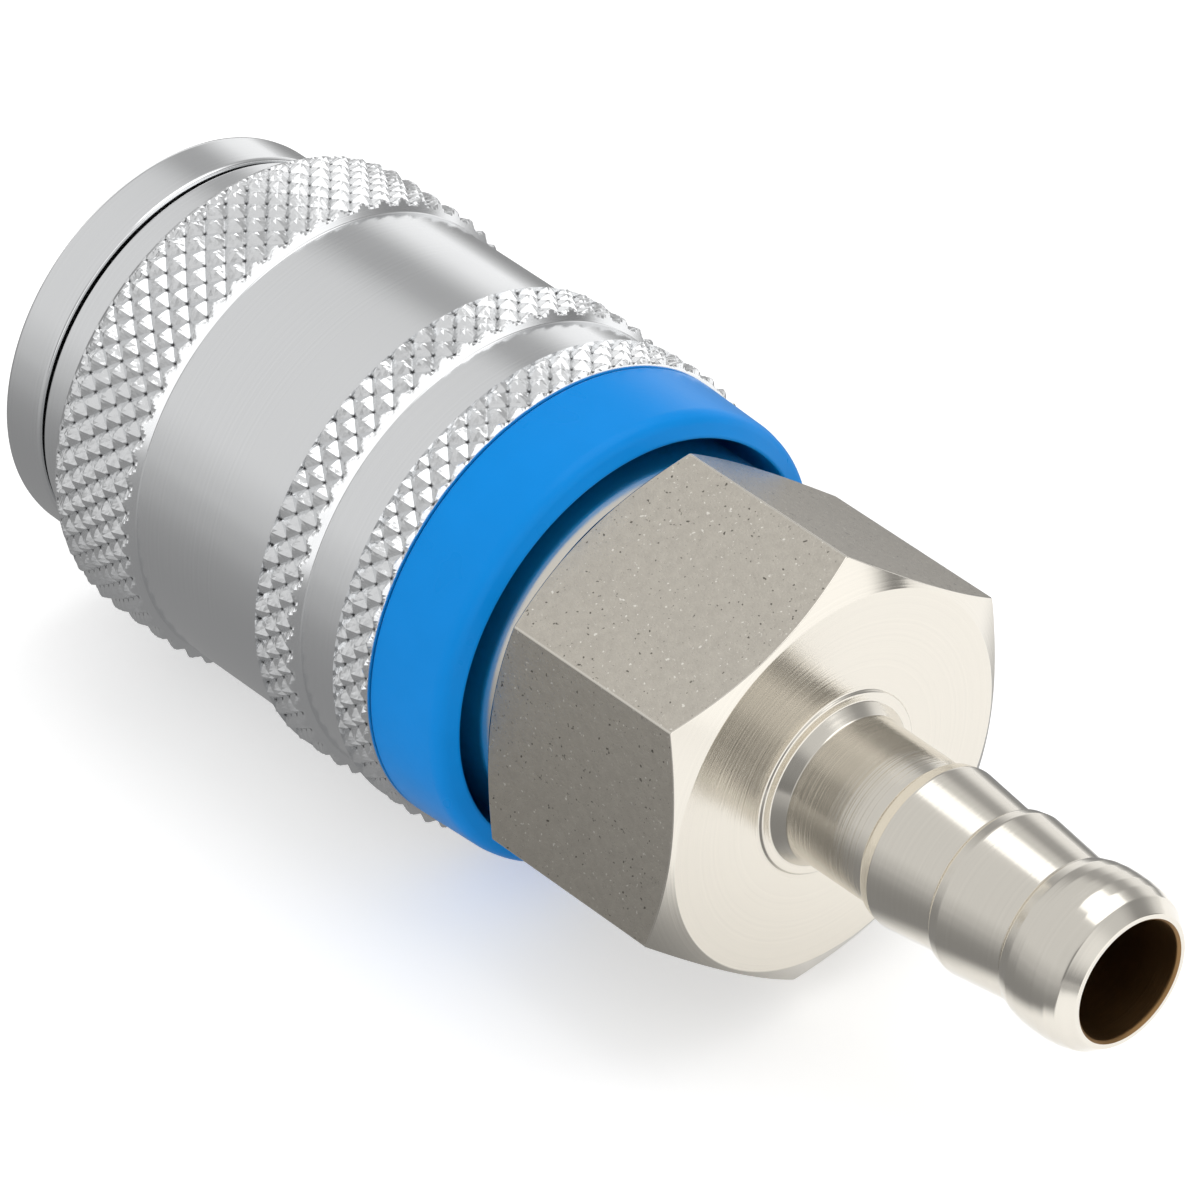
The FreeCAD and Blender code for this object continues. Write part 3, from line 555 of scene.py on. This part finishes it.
def build_sleeve(settings, polished, knurled):
    """The sleeve: its polished envelope R(x), cut by the knurl K(x, a) in the three bands.

    The radius is min(R, K) with K = tip - depth (1 - height), so that the bevels clip the
    diamonds to a jagged edge as they do on the lathe."""
    rise = settings.pitch / MM / DIAMOND_CELLS
    outline, normals = softened(sleeve_outline() + sleeve_inside(), ROUNDING)
    outside = len(sleeve_outline()) * CORNER_ROWS
    bands = ((*FRONT_BAND, WAIST_START, BAND_RADIUS), (*MIDDLE_BAND, GROOVE_START, BAND_RADIUS),
             (*REAR_BAND, SLEEVE_END - SEATING_GAP, REAR_BAND_RADIUS))
    lattice = np.concatenate([
        bevel + rise * np.arange(math.ceil((start - bevel) / rise), (end - bevel) / rise)
        for start, bevel, end, _ in bands])
    bevels = np.concatenate([np.linspace(FRONT_BAND[1], WAIST_START, WAIST_BEVEL_ROWS),
                             np.linspace(MIDDLE_BAND[1], GROOVE_START, GROOVE_BEVEL_ROWS)])
    shell_x, shell_r = outline[:outside, 0], outline[:outside, 1]
    x = np.unique(np.round(np.concatenate([shell_x, lattice, bevels]), 4))
    envelope = np.interp(x, shell_x, shell_r)
    facing = np.column_stack([np.interp(x, shell_x, normals[:outside, axis]) for axis in (0, 1)])
    facing /= np.linalg.norm(facing, axis=1)[:, None]
    angles = np.linspace(0, 2 * np.pi, settings.diamonds * DIAMOND_CELLS, endpoint=False)
    pit = np.ones((len(x), len(angles)))
    radius = np.repeat(envelope[:, None], len(angles), 1)
    torn = np.random.default_rng(TEAR_SEED).uniform(-TEAR, TEAR, radius.shape)
    for start, bevel, end, tip in bands:
        zone = (x > start) & (x < end)
        height, pit[zone] = knurl_height(x[zone, None] - bevel, angles[None], settings)
        cut = tip - settings.depth / MM * (1 - height) + torn[zone]
        radius[zone] = np.minimum(radius[zone], cut)
    cut_back = radius < envelope[:, None] - 1e-6
    profile = np.concatenate([np.column_stack([x, envelope]), outline[outside:]])
    normals = np.concatenate([facing, normals[outside:]])
    place, facing = turn(profile, normals, angles)
    place[:len(x), :, 1] = radius * np.cos(angles)
    place[:len(x), :, 2] = radius * np.sin(angles)
    marks = np.zeros(place.shape[:2], bool)
    marks[:len(x)] = cut_back
    cell = marks | np.roll(marks, -1, 0)
    cell = cell | np.roll(cell, -1, 1)
    pits = np.ones(place.shape[:2])
    pits[:len(x)] = np.where(cut_back, pit, 1.0)
    return mesh_object("locking_sleeve_knurled", place, facing, [polished, knurled],
                       kind=cell.astype(int), faceted=cell, split=valley_split(place), pits=pits)


def valley_split(place):
    """True where a grid cell is better divided from its second to its fourth corner: the diagonal
    whose middle lies nearer to the axis is the one that follows a root."""
    radius = np.hypot(place[..., 1], place[..., 2])
    b = np.roll(radius, -1, 1)
    c, d = np.roll(b, -1, 0), np.roll(radius, -1, 0)
    return b + d < radius + c


def hexagon_section(across, corner, flat_points, corner_points):
    """Angle, radius and normal angle round a hexagon with rounded corners, from its first corner.

    Each side is y = across / 2 along the flat, and each corner an arc of the given radius about
    a centre that lies inside both flats by that radius."""
    half = across / 2
    flat_angle = math.pi / 6
    reach = (half - corner) / math.cos(flat_angle)
    bend = np.linspace(0, flat_angle, corner_points)
    start_y = reach + corner * np.cos(bend)
    start_z = corner * np.sin(bend)
    middle = half * np.array([math.cos(flat_angle), math.sin(flat_angle)])
    along = np.array([-math.sin(flat_angle), math.cos(flat_angle)])
    run = (half - corner) * math.tan(flat_angle)
    steps = np.linspace(-run, run, flat_points)[1:-1]
    flat = middle + steps[:, None] * along
    end_y = reach * math.cos(2 * flat_angle) + corner * np.cos(flat_angle + bend[:-1])
    end_z = reach * math.sin(2 * flat_angle) + corner * np.sin(flat_angle + bend[:-1])
    y = np.concatenate([start_y, flat[:, 0], end_y])
    z = np.concatenate([start_z, flat[:, 1], end_z])
    normal = np.concatenate([bend, np.full(len(flat), flat_angle), flat_angle + bend[:-1]])
    sides = np.arange(6)[:, None] * 2 * flat_angle
    angle = (np.arctan2(z, y)[None] + sides).ravel() + math.radians(HEX_ANGLE)
    radius = np.tile(np.hypot(y, z), 6)
    return angle, radius, (normal[None] + sides).ravel() + math.radians(HEX_ANGLE)


def tail_outline():
    """The turned part of the tail: from the rear face of the hexagon out over neck, ridges and
    tip, back through the bore and the thread, and forward over the collar to the hexagon."""
    neck = HEX_END + EDGE
    points = [(HEX_END, HEX_FACE_RADIUS), (HEX_END, NECK_FOOT_RADII[0]), (neck, NECK_FOOT_RADII[1]),
              (neck, NECK_FOOT_RADII[2]), (neck + NECK_FILLET, NECK_RADIUS)]
    for index in range(RIDGE_COUNT):
        foot = FIRST_RIDGE + index * RIDGE_PITCH
        points += [(foot, VALLEY_RADIUS),
                   (foot + RIDGE_SHOULDER * RIDGE_RISE, RIDGE_SHOULDER_RADIUS),
                   (foot + RIDGE_RISE, RIDGE_RADIUS)]
    crown = np.linspace(-TIP_REACH, TIP_REACH, TIP_POINTS)
    middle = (LAST_VALLEY + TAIL_END - TIP_CORNER) / 2
    half = (TAIL_END - TIP_CORNER - LAST_VALLEY) / 2
    chamber_start = BODY_END + GUIDE_THICKNESS
    thread_start = TAIL_START + SEAL_RECESS_LENGTH
    points += [(LAST_VALLEY, VALLEY_RADIUS)]
    points += [(middle + half * u, TIP_RADIUS - TIP_DROP * abs(u) ** TIP_POWER) for u in crown]
    points += [(TAIL_END, TIP_FACE_RADIUS), (TAIL_END, BORE_RADIUS + EDGE),
               (TAIL_END - EDGE, BORE_RADIUS), (CHAMBER_END + DRILL_POINT_LENGTH, BORE_RADIUS),
               (CHAMBER_END, CHAMBER_RADIUS), (chamber_start, CHAMBER_RADIUS),
               (chamber_start, THREAD_RADIUS), (thread_start, THREAD_RADIUS),
               (thread_start, SEAL_RECESS_RADIUS), (TAIL_START, SEAL_RECESS_RADIUS),
               (TAIL_START, COLLAR_RADIUS - EDGE), (TAIL_START + EDGE, COLLAR_RADIUS),
               (HEX_START, COLLAR_RADIUS)]
    return points


def build_hose_tail(settings, materials):
    """Collar, hexagon, neck, ridges, olive tip and bore in one mesh of rows round the axis, in
    four materials: turned faces, flats, neck and bore.

    Turned rows have one x and one radius. On the hexagon the radius is that of its section, and
    its rows end where it meets the chamfer, x = face - (radius - face radius) tan 30."""
    angles, section, normal_angle = hexagon_section(
        HEX_ACROSS_FLATS, settings.corner / MM, FLAT_POINTS, CORNER_POINTS)
    outline, normals = softened(tail_outline(), ROUNDING)
    place, facing = turn(outline[3:-3], normals[3:-3], angles)
    wave = np.column_stack([np.cos(angles), np.sin(angles)])
    side = np.column_stack([0 * angles, np.cos(normal_angle), np.sin(normal_angle)])
    slope = math.radians(HEX_CHAMFER_ANGLE)
    front_cone = np.column_stack([np.full(len(angles), -math.cos(slope)), math.sin(slope) * wave])
    rear_cone = front_cone * (-1, 1, 1)
    edge = settings.edge / MM
    front_cut = HEX_START + math.tan(slope) * (section - HEX_ACROSS_FLATS / 2)
    rear_cut = HEX_END - math.tan(slope) * (section - HEX_FACE_RADIUS)
    low = section - edge / 2
    rows = [(HEX_START, HEX_ACROSS_FLATS / 2 - edge, front_cone), (front_cut, low, front_cone),
            (front_cut + edge, section, side), (rear_cut - edge, section, side),
            (rear_cut + edge / 4, low, rear_cone),
            (HEX_END - edge / 4, HEX_FACE_RADIUS + edge / 4, rear_cone)]
    ring = np.stack([np.column_stack([x + 0 * angles, radius * wave[:, 0], radius * wave[:, 1]])
                     for x, radius, _ in rows])
    kind = np.zeros((len(place) + len(rows), len(angles)), int)
    on_flat = np.isclose(normal_angle, np.roll(normal_angle, -1))
    kind[len(place) + 2] = on_flat
    x, radius = outline[3:-3].T
    turned = kind[:len(place)]
    turned[(x > HEX_END - EDGE) & (x < FIRST_RIDGE) & (radius > NECK_RADIUS - EDGE)] = 2
    turned[(x > CHAMBER_END) & (x < TAIL_END) & (radius < BORE_RADIUS + EDGE)] = 3
    ring_facing = np.stack([normal for _, _, normal in rows])
    return mesh_object("hose_tail_turned_and_milled", np.concatenate([place, ring]),
                       np.concatenate([facing, ring_facing]), materials, kind=kind)


def rim_outline():
    """The finished rim of the nose: a true cylinder with a rounded front edge over the flange."""
    points = [(BODY_START + RIM_PROUD, RIM_INNER_RADIUS), (BODY_START, RIM_RADIUS),
              (RIM_END, RIM_RADIUS), (RIM_END, RIM_INNER_RADIUS)]
    return points, np.array([SHARP, RIM_CORNER, RIM_BEVEL, SHARP])


def ring_outline():
    """The colour ring: a spigot in the sleeve, a slight taper outside and a sloping rear face."""
    points = [(RING_SPIGOT_START, RING_INNER_RADIUS), (RING_SPIGOT_START, SPIGOT_RADIUS),
              (SLEEVE_END, SPIGOT_RADIUS), (SLEEVE_END, RING_FRONT_RADIUS),
              (RING_END - RING_FACE_LENGTH, RING_REAR_RADIUS), (RING_END, RING_INNER_RADIUS)]
    return points, np.array(RING_ROUNDINGS)


# Settings

class MetalSettings(bpy.types.PropertyGroup):
    """Colours and tool marks of the metal pieces."""
    steel: FloatVectorProperty(
        name="Plated steel", description="Colour of the plated sleeve and nose", subtype="COLOR",
        size=3, min=0, max=1, default=linear("#E9EAEB")[:3])
    nickel: FloatVectorProperty(
        name="Nickel", description="Colour of the turned faces of the hose tail", subtype="COLOR",
        size=3, min=0, max=1, default=linear("#E2DDD3")[:3])
    ring_pitch: FloatProperty(
        name="Tool rings", description="Distance between the rings that the lathe leaves",
        default=0.12 * MM, min=0.02 * MM, unit="LENGTH", precision=5)


class SleeveSettings(bpy.types.PropertyGroup):
    """The diamond knurl of the three grip bands."""
    diamonds: IntProperty(
        name="Diamonds", description="Diamonds round each band", default=58, min=12, max=120)
    pitch: FloatProperty(
        name="Pitch", description="Length of one diamond along the axis", default=1.39 * MM,
        min=0.4 * MM, unit="LENGTH", precision=5)
    depth: FloatProperty(
        name="Depth", description="Depth of the roots below the tips", default=0.30 * MM,
        min=0.05 * MM, unit="LENGTH", precision=5)
    tip: FloatProperty(
        name="Flat tips", description="Share of each diamond that stays flat", default=0.12,
        min=0.0, max=0.6)


class RingSettings(bpy.types.PropertyGroup):
    """The plastic ring."""
    colour: FloatVectorProperty(
        name="Colour", description="Colour of the moulded plastic", subtype="COLOR", size=3,
        min=0, max=1, default=linear("#009AF8")[:3])


class TailSettings(bpy.types.PropertyGroup):
    """Edges of the hexagon."""
    corner: FloatProperty(
        name="Corner", description="Radius of the hexagon's long edges", default=0.12 * MM,
        min=0.02 * MM, unit="LENGTH", precision=5)
    edge: FloatProperty(
        name="Edge", description="Width of the worn edge round each flat", default=0.06 * MM,
        min=0.01 * MM, unit="LENGTH", precision=5)


class StageSettings(bpy.types.PropertyGroup):
    """Light and floor of the studio."""
    sky: FloatProperty(
        name="Sky", description="Brightness of the cards all round", default=0.75, min=0.0)
    card: FloatProperty(
        name="Card", description="Brightness of the shaded card", default=1.0, min=0.0)
    fill: FloatProperty(
        name="Fill", description="Brightness of the even light all round", default=0.72, min=0.0)
    lamp: FloatProperty(
        name="Lamp", description="Power of the overhead lamp", default=0.6, min=0.0, unit="POWER")
    floor: FloatVectorProperty(
        name="Floor", description="Colour of the floor", subtype="COLOR", size=3, min=0, max=1,
        default=linear("#F7F7F7")[:3])


# Operators

def dress(materials):
    """Gives CAD nodes their material, by node name."""
    for node, material in materials.items():
        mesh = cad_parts[node].data
        mesh.materials.clear()
        mesh.materials.append(material)


class COUPLER_OT_sleeve(bpy.types.Operator):
    """Build the knurled sleeve"""
    bl_idname = "coupler.sleeve"
    bl_label = "Knurled sleeve"

    def execute(self, context):
        metal = context.scene.coupler_metal
        polished = turned_metal("plated_steel_turned", metal.steel, 0.16, metal.ring_pitch, 0.5)
        sleeve = build_sleeve(context.scene.coupler_sleeve, polished, knurled_steel(metal.steel))
        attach(sleeve, "sleeve")
        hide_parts("locking_sleeve")
        return {"FINISHED"}


class COUPLER_OT_ring(bpy.types.Operator):
    """Build the plastic ring"""
    bl_idname = "coupler.ring"
    bl_label = "Colour ring"

    def execute(self, context):
        points, rounding = ring_outline()
        plastic = moulded_plastic(context.scene.coupler_ring.colour)
        ring = lathe("colour_ring_moulded", points, plastic, rounding)
        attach(ring, "sleeve")
        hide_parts("colour_ring")
        return {"FINISHED"}


class COUPLER_OT_hose_tail(bpy.types.Operator):
    """Build the hose tail with its hexagon"""
    bl_idname = "coupler.hose_tail"
    bl_label = "Hose tail"

    def execute(self, context):
        metal = context.scene.coupler_metal
        turned = turned_metal("bright_nickel_turned", metal.nickel, 0.13, metal.ring_pitch, 0.45)
        neck = turned_metal("coarse_turned_nickel", metal.nickel, 0.16, 0.22 * MM, 0.3, 0.008 * MM)
        bore = turned_metal(
            "drilled_bore_brass", linear("#8C6E4A")[:3], 0.45, 0.3 * MM, 0.0, 0.02 * MM)
        tail = build_hose_tail(context.scene.coupler_tail, [turned, matte_nickel(), neck, bore])
        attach(tail, "housing")
        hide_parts("hose_tail")
        return {"FINISHED"}


class COUPLER_OT_springs(bpy.types.Operator):
    """Build the two coil springs"""
    bl_idname = "coupler.springs"
    bl_label = "Springs"

    def execute(self, context):
        wire = turned_metal("drawn_spring_wire", linear("#B9BCBE")[:3], 0.25, 0.3 * MM, 0.3)
        for node, radius, thickness, turns, slide in SPRINGS:
            start, end, _ = span(node)
            spring = coil(node + "_coil", start, end, radius, thickness, turns, wire)
            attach(spring, "housing")
            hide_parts(node)
            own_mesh(spring)
        return {"FINISHED"}


class COUPLER_OT_inner_parts(bpy.types.Operator):
    """Finish the nose, the valve, the seals, the washers and the balls"""
    bl_idname = "coupler.inner_parts"
    bl_label = "Nose and inner parts"

    def execute(self, context):
        metal = context.scene.coupler_metal
        rubber = seal_rubber()
        brass = turned_metal("turned_brass", linear("#D9B36A")[:3], 0.22, metal.ring_pitch, 0.4)
        washer = turned_metal(
            "pressed_washer_steel", linear("#C4C6C8")[:3], 0.30, metal.ring_pitch, 0.2)
        ball = turned_metal("lapped_ball_steel", linear("#E0E1E3")[:3], 0.06, metal.ring_pitch, 0.0)
        nose = turned_metal("plated_steel_nose", metal.steel, 0.15, metal.ring_pitch, 0.5)
        points, rounding = rim_outline()
        rim = lathe("nose_rim", points, nose, rounding)
        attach(rim, "housing")
        dress({"front_body": nose, "plug_seal": rubber, "poppet_seal": rubber, "body_seal": rubber,
               "valve_guide": brass, "valve_poppet": brass, "spring_seat_washer": washer,
               "spring_carrier": washer})
        dress({node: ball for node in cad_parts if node.startswith("locking_ball")})
        return {"FINISHED"}


class COUPLER_OT_stage(bpy.types.Operator):
    """Set up the floor, the light and the camera"""
    bl_idname = "coupler.stage"
    bl_label = "Studio"

    def execute(self, context):
        settings = context.scene.coupler_stage
        floor = make_floor(settings)
        card = make_card(settings)
        surround = make_surround(settings)
        light_world(context.scene, settings)
        add_lamp(context.scene, settings)
        add_camera(context.scene)
        context.scene.view_settings.view_transform = "Standard"
        return {"FINISHED"}


# Studio

def shown_rays(tree):
    """1 for the rays that show the background, which are those of the lens, gloss and glass."""
    path = add(tree, "ShaderNodeLightPath")
    seen = add(tree, "ShaderNodeMath",
               {0: path.outputs["Is Camera Ray"], 1: path.outputs["Is Glossy Ray"]},
               operation="MAXIMUM")
    shown = add(tree, "ShaderNodeMath",
                {0: seen.outputs["Value"], 1: path.outputs["Is Transmission Ray"]},
                operation="MAXIMUM")
    return shown.outputs["Value"]


def make_sheet(name, far, level):
    """A square mesh at a level, from minus the floor's size to plus it, but only to far along y."""
    mesh = bpy.data.meshes.new(name)
    mesh.from_pydata([(-FLOOR_SIZE, -FLOOR_SIZE, level), (FLOOR_SIZE, -FLOOR_SIZE, level),
                      (FLOOR_SIZE, far, level), (-FLOOR_SIZE, far, level)], [], [(0, 1, 2, 3)])
    return mesh


def place_on_stage(name, mesh, material, gloss_only):
    """Makes an object of the studio, which gloss alone shows if gloss_only."""
    mesh.materials.append(material)
    made = bpy.data.objects.new(name, mesh)
    if gloss_only:
        made.visible_camera = made.visible_diffuse = False
        made.visible_transmission = made.visible_shadow = False
    bpy.context.scene.collection.objects.link(made)
    return made


def make_floor(settings):
    """A large square under the coupler, which the camera and the metal see as white."""
    mesh = make_sheet("floor", FLOOR_SIZE, cad_box[0][2] - FLOOR_DROP)
    material, tree = new_material("white_floor")
    paint = add(tree, "ShaderNodeBsdfDiffuse", {"Color": tuple(settings.floor) + (1.0,)})
    strength = add(tree, "ShaderNodeMath", {0: shown_rays(tree), 1: FLOOR_GLOW},
                   operation="MULTIPLY")
    glow = add(tree, "ShaderNodeEmission",
               {"Color": WHITE, "Strength": strength.outputs["Value"]})
    both = add(tree, "ShaderNodeAddShader", {0: paint.outputs["BSDF"], 1: glow.outputs["Emission"]})
    finish_material(tree, both.outputs["Shader"])
    return place_on_stage("floor", mesh, material, False)


def make_card(settings):
    """A card of painted shade with a soft edge, just over the floor on the lens side, that only
    gloss shows.

    Its brightness is a ramp along y, darkest under the coupler where it stands for the painted
    shadow, and its edge runs where x + min(y, 0) is about 42 mm."""
    mesh = make_sheet("shaded_card", CARD_FAR, cad_box[0][2] - CARD_DROP)
    material, tree = new_material("shaded_card")
    place = add(tree, "ShaderNodeTexCoord").outputs["Object"]
    parts = add(tree, "ShaderNodeSeparateXYZ", {"Vector": place})
    across = add(tree, "ShaderNodeMapRange",
                 {"Value": parts.outputs["Y"], "From Min": CARD_NEAR, "From Max": CARD_FAR})
    shade = add(tree, "ShaderNodeValToRGB", {"Fac": across.outputs["Result"]})
    fill_ramp(shade, [((y * MM - CARD_NEAR) / (CARD_FAR - CARD_NEAR), grey)
                      for y, grey in CARD_SHADES])
    near_side = add(tree, "ShaderNodeMath", {0: parts.outputs["Y"], 1: 0.0}, operation="MINIMUM")
    slant = add(tree, "ShaderNodeMath", {0: parts.outputs["X"], 1: near_side.outputs["Value"]},
                operation="ADD")
    cover = add(tree, "ShaderNodeMapRange",
                {"Value": slant.outputs["Value"], "From Min": CARD_EDGE[0],
                 "From Max": CARD_EDGE[1]}, interpolation_type="SMOOTHSTEP")
    clear = add(tree, "ShaderNodeBsdfTransparent")
    # Painted shade: a glowing grey, dark under the coupler, that the metal shows in place of shade.
    grey = add(tree, "ShaderNodeEmission",
               {"Color": shade.outputs["Color"], "Strength": settings.card})
    card = add(tree, "ShaderNodeMixShader",
               {"Fac": cover.outputs["Result"], 1: clear.outputs["BSDF"],
                2: grey.outputs["Emission"]})
    finish_material(tree, card.outputs["Shader"])
    return place_on_stage("shaded_card", mesh, material, True)


def make_surround(settings):
    """A wide ball of studio cards round the coupler, which only gloss shows.

    Its points are R (sin s cos t, sin s sin t, cos s), with s from 0 to pi and t once round. Its
    shades are functions of the direction from the origin: an even ceiling, a bright wall to +Y, a
    greyer one to -Y, and a dim one behind the tail with a bright window straight along X."""
    s = np.linspace(0, np.pi, SURROUND_ROWS + 1)[:, None]
    t = np.linspace(0, 2 * np.pi, SURROUND_COLUMNS, endpoint=False)[None, :]
    place = SURROUND_RADIUS * np.stack(
        [np.sin(s) * np.cos(t), np.sin(s) * np.sin(t), np.cos(s) + 0 * t], -1)
    row = np.arange(SURROUND_ROWS)[:, None] * SURROUND_COLUMNS
    column = np.arange(SURROUND_COLUMNS)[None, :]
    following = (column + 1) % SURROUND_COLUMNS
    faces = np.stack([row + column, row + following, row + SURROUND_COLUMNS + following,
                      row + SURROUND_COLUMNS + column], -1)
    mesh = bpy.data.meshes.new("studio_surround")
    mesh.from_pydata(place.reshape(-1, 3).tolist(), [], faces.reshape(-1, 4).tolist())
    material, tree = new_material("studio_surround")
    seat = add(tree, "ShaderNodeTexCoord").outputs["Object"]
    direction = add(tree, "ShaderNodeVectorMath", {0: seat}, operation="NORMALIZE")
    parts = add(tree, "ShaderNodeSeparateXYZ", {"Vector": direction.outputs["Vector"]})
    walls = []
    for stops in (LEFT_WALL, RIGHT_WALL, BACK_WALL):
        ramp = add(tree, "ShaderNodeValToRGB", {"Fac": parts.outputs["Z"]})
        fill_ramp(ramp, stops)
        walls.append(ramp.outputs["Color"])
    shade = walls[0]
    for axis, (start, end), other in (("Y", RIGHT_EDGE, walls[1]), ("X", BACK_EDGE, walls[2]),
                                      ("X", WINDOW_EDGE, WINDOW)):
        share = add(tree, "ShaderNodeMapRange",
                    {"Value": parts.outputs[axis], "From Min": start, "From Max": end},
                    interpolation_type="SMOOTHSTEP")
        shade = add(tree, "ShaderNodeMix",
                    {"Factor": share.outputs["Result"], "A": shade, "B": other},
                    data_type="RGBA").outputs["Result"]
    glow = add(tree, "ShaderNodeEmission", {"Color": shade, "Strength": settings.sky})
    finish_material(tree, glow.outputs["Emission"])
    return place_on_stage("studio_surround", mesh, material, True)


def light_world(scene, settings):
    """A white background, which gloss and glass show too, with an even soft light on the rest."""
    world = bpy.data.worlds.new("studio")
    world.use_nodes = True
    tree = world.node_tree
    tree.nodes.clear()
    even = add(tree, "ShaderNodeBackground", {"Color": WHITE, "Strength": settings.fill})
    white = add(tree, "ShaderNodeBackground", {"Color": WHITE, "Strength": 1.0})
    both = add(tree, "ShaderNodeMixShader",
               {"Fac": shown_rays(tree), 1: even.outputs["Background"],
                2: white.outputs["Background"]})
    add(tree, "ShaderNodeOutputWorld", {"Surface": both.outputs["Shader"]})
    scene.world = world


def fill_ramp(ramp, stops):
    """Sets the stops of a colour ramp to greys, given as (position, brightness)."""
    elements = ramp.color_ramp.elements
    while len(elements) < len(stops):
        elements.new(1.0)
    for element, (position, grey) in zip(elements, stops):
        element.position = position
        element.color = (grey, grey, grey, 1.0)


def add_lamp(scene, settings):
    """One large soft lamp above and behind the coupler."""
    data = bpy.data.lights.new("softbox", "AREA")
    data.shape = "DISK"
    data.size = LAMP_SIZE
    data.energy = settings.lamp
    lamp = bpy.data.objects.new("softbox", data)
    lamp.location = LAMP_PLACE
    lamp.rotation_euler = (LAMP_TILT, 0, 0)
    scene.collection.objects.link(lamp)


def add_camera(scene):
    """The camera: above the hose end, looking down along the coupler towards the plug end."""
    data = bpy.data.cameras.new("camera")
    data.lens = CAMERA_LENS
    data.sensor_width = CAMERA_SENSOR
    data.clip_start = 0.01
    camera = bpy.data.objects.new("camera", data)
    right, back = np.array(CAMERA_RIGHT), np.array(CAMERA_BACK)
    up = np.cross(back, right)
    turned = Matrix(np.column_stack([right, up, back]).tolist()).to_4x4()
    turned.translation = CAMERA_PLACE
    camera.matrix_world = turned
    scene.collection.objects.link(camera)
    scene.camera = camera


# Add-on

class COUPLER_PT_panel(bpy.types.Panel):
    """Lists the pieces of the coupler and their settings"""
    bl_idname = "COUPLER_PT_panel"
    bl_label = "Coupler"
    bl_space_type = "VIEW_3D"
    bl_region_type = "UI"
    bl_category = "Coupler"

    def draw(self, context):
        for name, group in SETTINGS.items():
            box = self.layout.box()
            box.label(text=group.__doc__)
            for key in group.__annotations__:
                box.prop(getattr(context.scene, name), key)
        for operator in OPERATORS:
            self.layout.operator(operator.bl_idname)


SETTINGS = {
    "coupler_metal": MetalSettings,
    "coupler_sleeve": SleeveSettings,
    "coupler_ring": RingSettings,
    "coupler_tail": TailSettings,
    "coupler_stage": StageSettings,
}
OPERATORS = (
    COUPLER_OT_sleeve,
    COUPLER_OT_ring,
    COUPLER_OT_hose_tail,
    COUPLER_OT_springs,
    COUPLER_OT_inner_parts,
    COUPLER_OT_stage,
)


def register():
    """Registers the settings, the operators and the panel."""
    for item in (*SETTINGS.values(), *OPERATORS, COUPLER_PT_panel):
        bpy.utils.register_class(item)
    for name, group in SETTINGS.items():
        setattr(bpy.types.Scene, name, PointerProperty(type=group))


def unregister():
    """Removes what register added."""
    for name in SETTINGS:
        delattr(bpy.types.Scene, name)
    for item in (COUPLER_PT_panel, *reversed(OPERATORS), *SETTINGS.values()):
        bpy.utils.unregister_class(item)


def main():
    register()
    bpy.ops.coupler.sleeve()
    bpy.ops.coupler.ring()
    bpy.ops.coupler.hose_tail()
    bpy.ops.coupler.springs()
    bpy.ops.coupler.inner_parts()
    bpy.ops.coupler.stage()
    bpy.context.view_layer.update()


if __name__ == "__main__":
    main()
